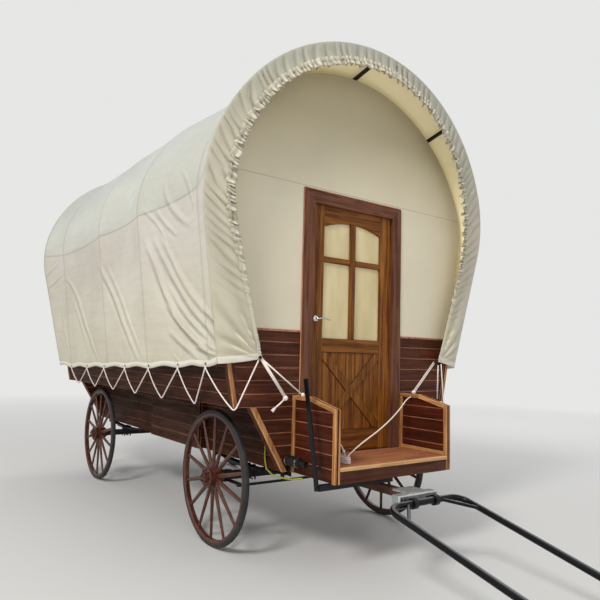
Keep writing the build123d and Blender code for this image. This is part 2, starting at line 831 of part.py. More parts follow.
def bow_frame():
    """The steel bows, the purlins welded between them, and the end bows' brackets on the box."""
    foot = box_top + cap_h
    frame = None
    stations = []
    for section in [wall_bow] + mid_bows:
        piece = bow(section, canvas_t + bow_gap, bow_t, bow_w, -bow_w / 2, foot)
        frame = piece if frame is None else frame + piece
        stations.append((section, canvas_t + bow_gap + bow_t / 2))
    for section, back in ((front_hoop, -1), (rear_hoop, 0)):
        frame += bow(section, end_bow_inset, end_bow_t, bow_w, back * bow_w, bracket_z0)
        inner = end_bow_inset + bracket_lap
        seat = trim_t + bracket_gap
        heights = (bracket_z0, bracket_z1)
        points = [(-box_y(z) - seat, z) for z in heights]
        points += [(-section.leg_y(z, inner), z) for z in reversed(heights)]
        span = bow_w + bracket_reach
        bracket = prism_x(points, section.x + back * span, section.x + (back + 1) * span)
        frame += bracket + other_side(bracket)
        stations.append((section, end_bow_inset + end_bow_t / 2))
    stations.sort(key=lambda s: s[0].x)
    for y in purlin_ys:
        for (a, inset_a), (b, inset_b) in zip(stations, stations[1:]):
            frame += square_bar(a.at(y, inset_a), b.at(y, inset_b), purlin_s, purlin_s)
    return frame


def canvas_cover():
    """The sewn cover: straight between its bows, turned in at both ends."""
    sections = [rear_rim, rear_hoop] + list(reversed(mid_bows)) + [wall_bow, front_hoop, front_rim]
    return loft([s.ring(0, s.thick, s.hem_z) for s in sections], ruled=True)


def porch_deck():
    """The boards, with a nosing over the fascia."""
    half = porch_half - core_t - 2 * strip_t
    return block(front_x, porch_x + nosing, -half, half, deck_z - deck_t, deck_z)


def porch_frame():
    """The joists under the deck and the fascia in front."""
    half = porch_half - core_t - 2 * strip_t
    low = rail_top
    frame = block(porch_x - fascia_t, porch_x, -half, half, fascia_z, deck_z - deck_t)
    frame += block(front_x, front_x + fascia_t, -half, half, low, deck_z - deck_t)
    for side in (-1, 0, 1):
        y = side * (half - fascia_t / 2)
        frame += block(front_x, porch_x, y - fascia_t / 2, y + fascia_t / 2, low, deck_z - deck_t)
    return frame


def porch_side():
    """The right side panel: a plank core with a frame of strips on both faces."""
    x0, x1 = front_x, porch_x
    bend = x0 + rail_flat
    outline = [(x0, fascia_z), (x1, fascia_z), (x1, rail_front_z), (bend, rail_back_z), (x0, rail_back_z)]
    inside = [(x0 + strip_w, fascia_z + strip_w), (x1 - strip_w, fascia_z + strip_w),
              (x1 - strip_w, rail_front_z - strip_w), (bend, rail_back_z - strip_w),
              (x0 + strip_w, rail_back_z - strip_w)]
    y0 = -porch_half
    y1 = -porch_half + core_t + 2 * strip_t
    panel = prism_y(outline, y0, y1)
    panel -= prism_y(inside, y0 - 1, y0 + strip_t)
    return panel - prism_y(inside, y1 - strip_t, y1 + 1)


def brake_lever():
    """The flat hand lever beside the porch."""
    foot = (lever_x, -lever_y - lever_t / 2, lever_foot_z)
    top = (lever_x - lever_lean, -lever_y - lever_t / 2, lever_top_z)
    return square_bar(foot, top, lever_t, lever_w)


def lever_at(z):
    return lever_x - lever_lean * (z - lever_foot_z) / (lever_top_z - lever_foot_z)


def brake_actuator():
    """The cylinder between the end wall and the lever."""
    y, z = -cylinder_y, cylinder_z
    start = front_x
    h = clevis_s / 2
    body = rod((start + clevis_s, y, z), (start + clevis_s + cylinder_l, y, z), cylinder_r)
    body += block(start, start + clevis_s, y - h, y + h, z - h, z + h)
    end = lever_at(z)
    body += rod((start + clevis_s + cylinder_l, y, z), (end, y, z), rod_r)
    return body + block(end - h, end + h, -lever_y, y + rod_r, z - h, z + h)


# The rope from the far porch rail to the hank on the deck, every point chosen by hand.
rope_points = [(3650, 551.7, 1192), (3655, 500, 1177), (3675, 430, 1126), (3700, 335, 1068),
               (3727, 225, 1012), (3752, 115, 963),
               (3778, 5, 922), (3802, -100, 887), (3825, -195, 853), (3842, -275, 818), (3855, -340, 782)]
hank_at = (3860, -390)


def rope_radii(points):
    """Each corner's arc: 0.45 of the shorter run over the tangent of half the turn."""
    radii = []
    for a, b, c in zip(points, points[1:], points[2:]):
        u, v = Vector(b) - Vector(a), Vector(c) - Vector(b)
        half_turn = radians(u.get_angle(v)) / 2
        radii.append(max(rope_min_r, 0.45 * min(u.length, v.length) / tan(half_turn)))
    return radii


def rope_free():
    radii = rope_radii(rope_points)
    path = FilletPolyline(*rope_points, radius=radii)
    print("rope radii", [round(r) for r in radii], "length", round(path.length))
    start = Plane(origin=path @ 0, z_dir=path % 0)
    return sweep(start * Circle(rope_d / 2), path=path)


def rope_hank():
    """The outer shape of the small hank that lies on the deck."""
    x, y = hank_at
    body = block(x - hank_l / 2, x + hank_l / 2, y - hank_w / 2, y + hank_w / 2, deck_z, deck_z + hank_h)
    body = fillet(body.edges().filter_by(Axis.Z), hank_w / 2 - 1)
    return chamfer(body.faces().sort_by(Axis.Z)[-1].edges(), hank_soft)


def wagon():
    """Every piece of the wagon by name, at its place from the rear axle."""
    right_wheel, right_tyre = wheel(), tyre()
    pieces = {
        "chassis_frame": chassis_frame(), "floor": floor(),
        "lower_wall_right": lower_wall(), "lower_wall_left": other_side(lower_wall()),
        "skirt_right": skirt(), "skirt_left": other_side(skirt()),
        "shelf_right": shelf(), "shelf_left": other_side(shelf()),
        "side_wall_right": side_wall(), "side_wall_left": other_side(side_wall()),
        "cap_rail_right": cap_rail(), "cap_rail_left": other_side(cap_rail()),
        "front_wainscot": wainscot(in_x1, front_x, True), "front_panel": end_panel(in_x1, front_x, True),
        "rear_wainscot": wainscot(rear_x, in_x0, False), "rear_panel": end_panel(rear_x, in_x0, False),
        "front_trims": end_trims(front_x, 1), "rear_trims": end_trims(rear_x, -1),
        "door_frame": door_frame(), "door_leaf": door_leaf(),
        "door_glass": door_glass(), "door_handle": door_handle(),
        "bow_frame": bow_frame(), "canvas_cover": canvas_cover(),
        "porch_deck": porch_deck(), "porch_frame": porch_frame(),
        "porch_side_right": porch_side(), "porch_side_left": other_side(porch_side()),
        "rear_axle": rear_axle(), "rear_springs": pair(leaf_spring()),
        "front_axle": front_axle(), "front_springs": Pos(wheelbase, 0, 0) * pair(leaf_spring()),
        "knuckle_right": knuckle(), "knuckle_left": other_side(knuckle()),
        "tie_rod": tie_rod(), "drawbar": drawbar(), "drawbar_head": drawbar_head(), "shafts": shafts(),
        "brake_lever": brake_lever(), "brake_actuator": brake_actuator(),
        "rope_free": rope_free(), "rope_hank": rope_hank(),
    }
    arm = pieces["knuckle_right"]
    hole = lambda r: pin_z(wheelbase + arm_l, -kingpin_y, arm_z() - 1, arm_z() + ear_t + 1, r)
    pieces["knuckle_right"] = arm - hole(pin_r + kingpin_fit)
    pieces["knuckle_left"] = other_side(arm - hole(pin_r + open_eye_fit))
    for end, x in (("rear", 0), ("front", wheelbase)):
        place = Pos(x, -wheel_y, axle_z)
        pieces[f"{end}_wheel_right"] = place * right_wheel
        pieces[f"{end}_wheel_left"] = other_side(place * right_wheel)
        pieces[f"{end}_tyre_right"] = place * right_tyre
        pieces[f"{end}_tyre_left"] = other_side(place * right_tyre)
    return pieces


os.makedirs("parts", exist_ok=True)
for name, shape in wagon().items():
    export_step(Pos(-origin_x, 0, 0) * shape, f"parts/{name}.step")
print("origin_x", round(origin_x, 3), "tip_x", round(tip_x, 2), "cross bar", cross_x, cross_bar_z)
print("head_x", head_x, "shaft_l", round(shaft_l, 1))
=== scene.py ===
# %% [markdown]
# # A covered wagon
# The frame holds the wagon as plain solids: a plank cabin on springs, a canvas roof on bent bows,
# a porch, four spoked wheels and a pair of shafts. This lesson dresses those solids piece by piece.
# Each solid either gets a material or makes way for a piece with the same form and more detail.

# %% The frame
import math
import random
import bmesh
import bpy
import numpy as np
from mathutils import Matrix, Vector


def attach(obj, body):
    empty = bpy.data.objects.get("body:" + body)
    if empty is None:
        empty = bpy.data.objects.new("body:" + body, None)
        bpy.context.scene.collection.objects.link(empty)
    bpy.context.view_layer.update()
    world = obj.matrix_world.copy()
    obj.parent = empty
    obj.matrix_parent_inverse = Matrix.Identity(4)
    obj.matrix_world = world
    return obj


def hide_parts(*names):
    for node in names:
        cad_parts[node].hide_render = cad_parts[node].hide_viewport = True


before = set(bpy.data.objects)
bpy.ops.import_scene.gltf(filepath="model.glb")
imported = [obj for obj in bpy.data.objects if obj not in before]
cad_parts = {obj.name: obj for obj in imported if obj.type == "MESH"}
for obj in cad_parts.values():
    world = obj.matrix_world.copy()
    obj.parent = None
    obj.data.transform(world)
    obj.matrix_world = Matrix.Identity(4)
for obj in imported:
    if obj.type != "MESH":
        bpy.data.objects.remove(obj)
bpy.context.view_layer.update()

# %% [markdown]
# The solids' lengths were measured from the rear axle, and the frame's origin lies under the middle of
# the whole wagon. One small function turns the first into the second. The sizes below are the ones that
# several pieces share.

# %% Shared sizes
REAR_AXLE = -2.621155
WHEELBASE = 2.915
FRONT = 3.515
BACK = -0.750
WALL = 0.060
INNER_BACK, INNER_FRONT = BACK + WALL, FRONT - WALL
LOWER_HALF, LOWER_Z = 0.690, 0.650
BOX_Z, BOX_TOP, BOX_HALF, FLARE = 1.133, 1.716, 1.110, 0.2
FACADE_HALF = 0.980
DOOR_HALF = 0.538
PORCH = 4.037
PORCH_HALF = 0.604
DECK_Z = 0.752
WHEEL_Y = 0.9345
AXLE_Z = 0.5335
MITRE = 2.324
PANEL_JOINT = 2.880
SEAM_Z = 2.73
HEAD_FACE = 4.240
SIDES = (("right", -1), ("left", 1))


def at(x, y, z):
    """A point given from the rear axle, in the shared frame."""
    return Vector((x + REAR_AXLE, y, z))


def box_y(z):
    """Half the width of the flared plank side at a height."""
    return BOX_HALF + (z - BOX_Z) * FLARE


# %% [markdown]
# ## Finishes
# Every finish is a node tree. A short helper adds a node, sets its sockets and links what is linked,
# which keeps the trees readable. Effects that are used more than once become groups: the grain of a
# board, the dust of the road, and the creases of cloth.

# %% Node helpers
def wire(tree, node, values):
    """Fills a node's sockets. A value that is a socket is linked, any other value is set."""
    for key, value in values.items():
        if isinstance(value, bpy.types.NodeSocket):
            tree.links.new(value, node.inputs[key])
        else:
            node.inputs[key].default_value = value
    return node


def put(tree, kind, values=None, **settings):
    """Adds one node and fills its sockets."""
    node = tree.nodes.new(kind)
    for key, value in settings.items():
        setattr(node, key, value)
    return wire(tree, node, values or {})


def math_of(tree, operation, *values):
    node = put(tree, "ShaderNodeMath", dict(enumerate(values)), operation=operation)
    return node.outputs[0]


def times(tree, a, b):
    return math_of(tree, "MULTIPLY", a, b)


def vector_of(tree, operation, *values):
    """A vector operation. Lengths and dot products give a number, the others a vector."""
    node = put(tree, "ShaderNodeVectorMath", dict(enumerate(values)), operation=operation)
    return node.outputs[1 if operation in ("LENGTH", "DOT_PRODUCT") else 0]


def parts_of(tree, vector):
    """The x, y and z of a vector."""
    return put(tree, "ShaderNodeSeparateXYZ", {0: vector}).outputs


def places_of(tree):
    """The outputs that give a point's place and normal in the shared frame."""
    return put(tree, "ShaderNodeTexCoord").outputs


def blend_of(tree, factor, low, high, mode="MIX"):
    node = put(tree, "ShaderNodeMix", {0: factor, 6: low, 7: high}, data_type="RGBA", blend_type=mode)
    return node.outputs[2]


def ramp_of(tree, value, low, high, to_low=0.0, to_high=1.0):
    node = put(tree, "ShaderNodeMapRange",
               {0: value, 1: low, 2: high, 3: to_low, 4: to_high}, clamp=True)
    return node.outputs[0]


def noise_of(tree, place, scale, detail, **more):
    """Noise between zero and one."""
    values = {"Vector": place, "Scale": scale, "Detail": detail, **more}
    return put(tree, "ShaderNodeTexNoise", values).outputs[0]


def mark_of(tree, name):
    """A number that the mesh stores per face or per vertex."""
    return put(tree, "ShaderNodeAttribute", attribute_name=name).outputs["Fac"]


def new_group(name, inputs, outputs):
    """A shader group with its sockets, and its two end nodes."""
    tree = bpy.data.node_groups.new(name, "ShaderNodeTree")
    for label, kind, value in inputs:
        socket = tree.interface.new_socket(label, in_out="INPUT", socket_type="NodeSocket" + kind)
        socket.default_value = value
    for label, kind in outputs:
        tree.interface.new_socket(label, in_out="OUTPUT", socket_type="NodeSocket" + kind)
    return tree, tree.nodes.new("NodeGroupInput").outputs, tree.nodes.new("NodeGroupOutput")


def use_group(tree, group, **values):
    node = put(tree, "ShaderNodeGroup", node_tree=group)
    return wire(tree, node, {key.replace("_", " "): value for key, value in values.items()}).outputs


def rgb(red, green, blue):
    """An sRGB colour of 0 to 255 as the linear colour that a socket takes."""
    parts = [c / 255 for c in (red, green, blue)]
    return [p / 12.92 if p <= 0.04045 else ((p + 0.055) / 1.055) ** 2.4 for p in parts] + [1.0]


# %% [markdown]
# A sawn board shows long streaks along the grain, so its noise is squeezed across the board and
# stretched along it. Each board carries a number of its own in an attribute. The group uses it to move
# the pattern and to shift the tone, so no two boards match. A second attribute marks the edges. They
# get a tone of their own: paler where boards are rubbed, and on the door darker, as painted shade in its
# grooves.

# %% The grain of a board
grain, gin, gout = new_group("board grain", [
    ("Dark", "Color", rgb(60, 30, 20)), ("Light", "Color", rgb(120, 70, 50)),
    ("Edge", "Color", rgb(170, 130, 105)), ("Stretch", "Vector", (2, 40, 40)),
    ("Contrast", "Float", 1.0), ("Variety", "Float", 0.3), ("Edge wear", "Float", 0.7)],
    [("Color", "Color"), ("Height", "Float"), ("Roughness", "Float")])
board = mark_of(grain, "board")
chamfered = mark_of(grain, "chamfered")
place = places_of(grain)["Object"]
shift = [times(grain, board, by) for by in (17.3, 9.1, 5.7)]
shift = put(grain, "ShaderNodeCombineXYZ", dict(enumerate(shift))).outputs[0]
moved = vector_of(grain, "ADD", place, shift)
drawn = vector_of(grain, "MULTIPLY", moved, gin["Stretch"])
figure = noise_of(grain, drawn, 1.0, 6.0, Roughness=0.62, Distortion=0.6)
pores = noise_of(grain, drawn, 5.0, 3.0, Roughness=0.6)
cloud = noise_of(grain, moved, 4.0, 3.0, Roughness=0.5)
streak = ramp_of(grain, figure, 0.36, 0.66)
streak = math_of(grain, "SUBTRACT", streak, 0.5)
streak = math_of(grain, "ADD", times(grain, streak, gin["Contrast"]), 0.5)
fine = ramp_of(grain, pores, 0.35, 0.7, -0.18, 0.18)
wide = ramp_of(grain, cloud, 0.3, 0.7, -0.12, 0.12)
share = math_of(grain, "ADD", math_of(grain, "ADD", streak, fine), wide)
wood = blend_of(grain, share, gin["Dark"], gin["Light"])
own = put(grain, "ShaderNodeTexWhiteNoise", {"W": times(grain, board, 91.7)},
          noise_dimensions="1D").outputs["Value"]
own = math_of(grain, "SUBTRACT", own, 0.5)
tone = math_of(grain, "ADD", times(grain, own, gin["Variety"]), 1.0)
grey = put(grain, "ShaderNodeCombineColor", {0: tone, 1: tone, 2: tone}).outputs[0]
wood = blend_of(grain, 1.0, wood, grey, "MULTIPLY")
edge_mask = times(grain, chamfered, ramp_of(grain, cloud, 0.35, 0.6, 0.35, 1.0))
wood = blend_of(grain, times(grain, edge_mask, gin["Edge wear"]), wood, gin["Edge"])
rough = ramp_of(grain, share, 0.0, 1.0, 0.62, 0.40)
wire(grain, gout, {"Color": wood, "Height": share, "Roughness": rough})
print("group:", grain.name, len(grain.nodes), "nodes")

# %% [markdown]
# Dust from the road settles in soft patches, thickest close to the ground. The group mixes a dust
# colour into whatever colour comes in, by height and by noise.

# %% Road dust
dust, din, dout = new_group("road dust", [
    ("Color", "Color", rgb(128, 128, 128)), ("Dust", "Color", rgb(150, 138, 115)),
    ("Amount", "Float", 0.3), ("Low", "Float", 0.0), ("High", "Float", 1.2), ("Scale", "Float", 6.0)],
    [("Color", "Color"), ("Mask", "Float")])
spot = places_of(dust)["Object"]
height = parts_of(dust, spot)[2]
fall = ramp_of(dust, height, din["Low"], din["High"], 1.0, 0.12)
patch = noise_of(dust, spot, din["Scale"], 6.0, Roughness=0.65)
mask = times(dust, ramp_of(dust, patch, 0.35, 0.72), fall)
mask = times(dust, mask, din["Amount"])
wire(dust, dout, {"Color": blend_of(dust, mask, din["Color"], din["Dust"]), "Mask": mask})
print("group:", dust.name, len(dust.nodes), "nodes")

# %% [markdown]
# Tied cloth creases. Every crease is one gently curved line on the wagon's side, given by its two ends,
# its bend, its width and its height, all in metres from the rear axle. The same table serves twice: the
# broad ones move the mesh, and all of them tilt the shading through the group below.

# %% The creases and their group
CREASES = [
    (2.234, 2.788, 2.623, 2.472, 0.014, 0.028, 0.008), (2.452, 2.745, 2.863, 2.468, -0.019, 0.032, 0.010),
    (2.559, 2.973, 3.160, 2.490, -0.073, 0.044, 0.011), (2.883, 2.998, 3.265, 2.606, 0.036, 0.036, 0.009),
    (2.250, 2.501, 3.566, 1.481, -0.184, 0.058, 0.024), (2.388, 2.498, 3.642, 1.605, -0.101, 0.050, 0.022),
    (2.559, 2.473, 3.711, 1.693, -0.116, 0.050, 0.019), (2.600, 2.117, 3.545, 1.529, -0.034, 0.044, 0.017),
    (2.648, 1.701, 3.195, 1.474, -0.004, 0.040, 0.013), (2.605, 1.918, 3.391, 1.499, -0.009, 0.038, 0.014),
    (2.302, 2.406, 2.611, 1.950, 0.017, 0.030, 0.011), (3.352, 1.846, 3.699, 1.706, -0.002, 0.028, 0.014),
    (3.150, 1.640, 3.620, 1.520, -0.003, 0.026, 0.010), (3.120, 1.570, 3.600, 1.500, -0.003, 0.022, 0.009),
    (0.937, 2.478, 1.921, 1.431, -0.005, 0.046, 0.021), (1.150, 2.400, 2.030, 1.480, 0.012, 0.040, 0.009),
    (2.029, 2.624, 1.871, 2.350, -0.003, 0.024, 0.008), (2.092, 2.560, 1.949, 2.221, -0.013, 0.026, 0.009),
    (1.680, 2.907, 1.892, 3.165, -0.015, 0.028, 0.009), (1.838, 2.826, 2.064, 3.057, -0.025, 0.028, 0.009),
    (-0.315, 2.403, 0.694, 1.405, 0.050, 0.046, 0.020), (-0.204, 2.125, 0.441, 1.411, 0.060, 0.036, 0.010),
    (-0.90, 2.44, -0.52, 2.61, 0.015, 0.026, 0.009), (-0.86, 2.30, -0.44, 2.46, 0.010, 0.026, 0.009),
    (-0.523, 2.145, -0.389, 1.394, -0.023, 0.034, 0.011), (2.72, 1.50, 2.98, 1.48, -0.050, 0.024, 0.007)]

crease, cin, cout = new_group("crease", [
    ("Place", "Vector", (0, 0, 0)), ("From", "Vector", (0, 0, 0)), ("To", "Vector", (1, 0, 0)),
    ("Bend", "Float", 0.0), ("Width", "Float", 0.03), ("Height", "Float", 0.01)], [("Height", "Float")])
gone = vector_of(crease, "SUBTRACT", cin["Place"], cin["From"])
axis = vector_of(crease, "SUBTRACT", cin["To"], cin["From"])
run = vector_of(crease, "DOT_PRODUCT", axis, axis)
share = math_of(crease, "DIVIDE", vector_of(crease, "DOT_PRODUCT", gone, axis), run)
share = ramp_of(crease, share, 0.0, 1.0)
across = vector_of(crease, "NORMALIZE", vector_of(crease, "CROSS_PRODUCT", axis, (0, 1, 0)))
arched = times(crease, share, math_of(crease, "SUBTRACT", 1.0, share))
arched = times(crease, arched, 4.0)
bent = times(crease, cin["Bend"], arched)
beside = math_of(crease, "SUBTRACT", vector_of(crease, "DOT_PRODUCT", gone, across), bent)
beside = math_of(crease, "DIVIDE", beside, cin["Width"])
square = times(crease, beside, beside)
bell = math_of(crease, "EXPONENT", times(crease, square, -1.0))
ridge = times(crease, math_of(crease, "MULTIPLY_ADD", square, -1.4, 1.0), bell)
ridge = times(crease, ridge, math_of(crease, "POWER", arched, 0.6))
wire(crease, cout, {"Height": times(crease, ridge, cin["Height"])})
print("creases:", len(CREASES), "group:", crease.name, len(crease.nodes), "nodes")

# %% [markdown]
# The materials follow. A wood differs from the next only in its colours, its gloss and the way its
# grain runs, so one function makes them all. Metals and rubber need little more than a base colour,
# some unevenness and dust, which a second function gives them.

# %% Material makers
ALONG = {"x": (1.6, 34, 34), "y": (34, 1.6, 34), "z": (34, 34, 1.6)}


def new_material(name):
    material = bpy.data.materials.new(name)
    material.use_nodes = True
    tree = material.node_tree
    return material, tree, tree.nodes["Principled BSDF"]


def wood_finish(name, way, dark, light, edge=(176, 138, 112), gloss=0.0, contrast=1.0, variety=0.3,
                edge_amount=0.7, dirt=0.18, specular=0.18):
    material, tree, shader = new_material(name)
    out = use_group(tree, grain, Dark=rgb(*dark), Light=rgb(*light), Edge=rgb(*edge), Stretch=ALONG[way],
                    Contrast=contrast, Variety=variety, Edge_wear=edge_amount)
    dirty = use_group(tree, dust, Color=out["Color"], Amount=dirt)
    bump = put(tree, "ShaderNodeBump", {"Height": out["Height"], "Strength": 0.25, "Distance": 0.002})
    wire(tree, shader, {"Base Color": dirty["Color"], "Roughness": out["Roughness"],
                        "Normal": bump.outputs[0], "Specular IOR Level": specular, "Coat Weight": gloss,
                        "Coat Roughness": 0.25})
    return material


def plain_finish(name, colour, roughness, metallic=0.0, uneven=0.15, dirt=0.2, scale=9.0, coat=0.0,
                 dust_tone=(150, 138, 115), bump=0.0, high=1.2, specular=0.5):
    """Paint, metal or rubber: one colour with soft unevenness and dust."""
    material, tree, shader = new_material(name)
    place = places_of(tree)["Object"]
    mottle = noise_of(tree, place, scale, 5.0)
    shade = ramp_of(tree, mottle, 0.3, 0.7, 1.0 - uneven, 1.0 + uneven)
    grey = put(tree, "ShaderNodeCombineColor", {0: shade, 1: shade, 2: shade}).outputs[0]
    base = blend_of(tree, 1.0, rgb(*colour), grey, "MULTIPLY")
    dirty = use_group(tree, dust, Color=base, Dust=rgb(*dust_tone), Amount=dirt, Scale=scale, High=high)
    rough = ramp_of(tree, mottle, 0.3, 0.7, roughness - 0.06, roughness + 0.06)
    rough = math_of(tree, "ADD", rough, times(tree, dirty["Mask"], 0.3))
    wire(tree, shader, {"Base Color": dirty["Color"], "Roughness": rough, "Metallic": metallic,
                        "Specular IOR Level": specular, "Coat Weight": coat, "Coat Roughness": 0.15})
    if bump:
        fine = noise_of(tree, place, 160.0, 3.0)
        raised = put(tree, "ShaderNodeBump", {"Height": fine, "Strength": bump, "Distance": 0.001})
        wire(tree, shader, {"Normal": raised.outputs[0]})
    return material


def paint_over(finish, mask, colour, mode="MIX"):
    """Lays a colour over a finish's own, as far as a mask says."""
    tree = finish.node_tree
    base = tree.nodes["Principled BSDF"].inputs["Base Color"]
    tree.links.new(blend_of(tree, mask, base.links[0].from_socket, colour, mode), base)


print("makers ready, grain along", ", ".join(ALONG))

# %% [markdown]
# The walls are stained a dark red, the strips are pale softwood and the door is varnished. Streaks have
# to run along each board, so a wood that is laid in several directions is made once for each.

# %% The wood finishes
RED_DARK, RED_LIGHT = (50, 19, 8), (96, 50, 30)
SEAM_TONE = (188, 134, 104)
HONEY_DARK, HONEY_LIGHT, HONEY_EDGE = (138, 82, 38), (204, 148, 92), (226, 184, 134)
board_x = wood_finish("red_boards_along", "x", (36, 14, 6), (70, 34, 20), edge=(166, 116, 90), contrast=0.7,
                      edge_amount=0.6, dirt=0.03, specular=0.05)
board_y = wood_finish("red_boards_across", "y", RED_DARK, RED_LIGHT, edge=SEAM_TONE, contrast=0.7,
                      edge_amount=0.9, dirt=0.06)
porch_x = wood_finish("porch_boards_along", "x", (48, 13, 4), (92, 38, 18), edge=(196, 134, 98),
                      contrast=0.7, edge_amount=0.85, dirt=0.04)
dark_x = wood_finish("dark_boards_along", "x", (38, 18, 9), (76, 42, 26), edge=(158, 112, 86), contrast=0.7,
                     edge_amount=0.85, dirt=0.04, specular=0.05)
trim_x = wood_finish("honey_strip_along", "x", HONEY_DARK, HONEY_LIGHT, edge=HONEY_EDGE, dirt=0.06)
trim_y = wood_finish("honey_strip_across", "y", (170, 120, 74), (224, 182, 134), edge=HONEY_EDGE, dirt=0.06)
trim_z = wood_finish("honey_strip_upright", "z", HONEY_DARK, HONEY_LIGHT, edge=HONEY_EDGE, dirt=0.06)
# The door's edges take a dark tone: painted shade along its grooves and braces.
door_z = wood_finish("door_upright", "z", (90, 46, 5), (150, 94, 32), edge=(48, 22, 4), gloss=0.08,
                     contrast=1.1, variety=0.22, edge_amount=0.9, dirt=0.02)
door_y = wood_finish("door_across", "y", (88, 44, 5), (142, 88, 30), edge=(48, 22, 4), gloss=0.08,
                     contrast=1.1, variety=0.18, edge_amount=0.9, dirt=0.02)
frame_wood = wood_finish("door_frame_boards", "z", (74, 38, 24), (124, 80, 58), gloss=0.05, contrast=0.8,
                         dirt=0.04)
edge_strip = wood_finish("reddish_edge_strip", "z", (140, 84, 62), (184, 128, 102), edge=(200, 150, 124))
deck_y = wood_finish("deck_boards", "y", (148, 84, 54), (196, 134, 96), edge=(128, 74, 50), variety=0.10,
                     contrast=0.7, edge_amount=0.4, dirt=0.06)
print("wood finishes:", len(bpy.data.materials))

# %% [markdown]
# The wheels are painted red brown and the running gear black, dull on the frame and glossy on the shafts.
# The drawbar has rusted, its head is galvanised, and the door's fittings are bright.

# %% The paint, metal and rubber finishes
wheel_wood = plain_finish("wheel_paint", (70, 28, 14), 0.42, uneven=0.45, dirt=0.24, scale=18.0,
                          dust_tone=(146, 106, 78), high=1.4, specular=0.4)
rubber = plain_finish("tyre_rubber", (18, 19, 20), 0.7, uneven=0.15, dirt=0.35, scale=12.0,
                      dust_tone=(112, 104, 92), bump=0.3, high=1.6)
black_steel = plain_finish("black_steel", (15, 14, 14), 0.5, uneven=0.2, dirt=0.14, scale=7.0,
                           dust_tone=(92, 80, 68), specular=0.3)
gloss_black = plain_finish("gloss_black", (9, 9, 10), 0.28, uneven=0.1, dirt=0.0, specular=0.2)
rusted = plain_finish("rusted_steel", (84, 54, 40), 0.6, uneven=0.3, dirt=0.15, scale=14.0, specular=0.2)
galvanised = plain_finish("galvanised", (168, 171, 170), 0.42, metallic=0.5, uneven=0.2, dirt=0.1,
                          scale=30.0, specular=0.3)
pale_zinc = plain_finish("pale_zinc", (222, 224, 220), 0.45, metallic=0.3, uneven=0.06, dirt=0.0,
                         scale=30.0)
bright_steel = plain_finish("bright_steel", (200, 200, 198), 0.18, metallic=1.0, uneven=0.04, dirt=0.0)
cream_paint = plain_finish("cream_panel", (221, 212, 186), 0.7, uneven=0.03, dirt=0.05, scale=3.0)
white_rope = plain_finish("white_rope", (243, 232, 220), 0.85, uneven=0.06, dirt=0.04, scale=40.0)
hose_yellow = plain_finish("yellow_hose", (150, 150, 30), 0.5, uneven=0.1, dirt=0.2)
print("all finishes so far:", len(bpy.data.materials))

# %% [markdown]
# Four finishes change over the piece that wears them. The black tubes get a painted highlight along their
# top.
# The lugs of the galvanised head, which hold the shafts' cross bar, are black. The door frame's head has
# its grain across, and its joint with the posts is a mitre. The cream panels are two sheets high with a
# fine joint over the door, and a painted shade makes them darker and yellower towards the top.

# %% Painted highlight, lugs, mitre, panel joint and painted shade
LUGS_FROM = HEAD_FACE + REAR_AXLE + 0.0005
JOINT_HALF, JOINT_EDGE = 0.0015, 0.004
SHADED_FROM, SHADED_TO = 2.7, 3.5

# A painted highlight: a pale strip where the black tubes face up.
tree = gloss_black.node_tree
facing = parts_of(tree, places_of(tree)["Normal"])[2]
paint_over(gloss_black, ramp_of(tree, facing, 0.74, 0.96, 0.0, 0.34), rgb(172, 174, 182))

tree = galvanised.node_tree
lugs = math_of(tree, "GREATER_THAN", parts_of(tree, places_of(tree)["Object"])[0], LUGS_FROM)
paint_over(galvanised, lugs, rgb(14, 14, 15))
wire(tree, tree.nodes["Principled BSDF"], {"Metallic": ramp_of(tree, lugs, 0.0, 1.0, 0.5, 0.0)})

tree = frame_wood.node_tree
place = parts_of(tree, places_of(tree)["Object"])
over_mitre = math_of(tree, "SUBTRACT", place[2], math_of(tree, "ABSOLUTE", place[1]))
head = math_of(tree, "GREATER_THAN", over_mitre, MITRE)
slow, quick = ALONG["z"][2], ALONG["z"][0]
stretch = put(tree, "ShaderNodeCombineXYZ", {0: quick, 1: ramp_of(tree, head, 0, 1, quick, slow),
                                             2: ramp_of(tree, head, 0, 1, slow, quick)}).outputs[0]
grain_node = next(node for node in tree.nodes if node.type == "GROUP" and node.node_tree == grain)
wire(tree, grain_node, {"Stretch": stretch})

tree = cream_paint.node_tree
level = parts_of(tree, places_of(tree)["Object"])[2]
off_joint = math_of(tree, "ABSOLUTE", math_of(tree, "SUBTRACT", level, PANEL_JOINT))
# Painted shade: towards the top, under the bonnet, the panels turn darker and yellower.
paint_over(cream_paint, ramp_of(tree, level, SHADED_FROM, SHADED_TO), (0.71, 0.68, 0.59, 1.0), "MULTIPLY")
paint_over(cream_paint, ramp_of(tree, off_joint, JOINT_HALF, JOINT_EDGE, 0.45, 0.0), rgb(120, 104, 78))
print("finishes that change over their piece: 4")

# %% [markdown]
# The canvas is a heavy cotton. Close up it is a weave of crossing threads, which the cloth's own map
# places in metres. From afar it is nearly flat in colour. It is darker where hands and dust reach it, and
# painted shade darkens it along the sewn seams and in the gathers. Its tone shifts with the height, and a
# painted shade makes what faces up a little darker and cooler. The inner face is painted paler and glows
# weakly: painted light for the daylight that comes through the cloth.

# %% Drape and weave
THREADS = 2 * math.pi / 0.0024
ROOF_MIDDLE = 2.6
WANDER = 0.05
CRINKLE = 0.005
LOW_TINT = (0.98, 0.97, 0.90)
SOIL_AND_SHADE_TONE = rgb(158, 149, 126)
INNER_LIT_TONE = rgb(246, 234, 200)
GLOW, GLOW_TONE = 0.13, (1.0, 0.85, 0.48, 1.0)


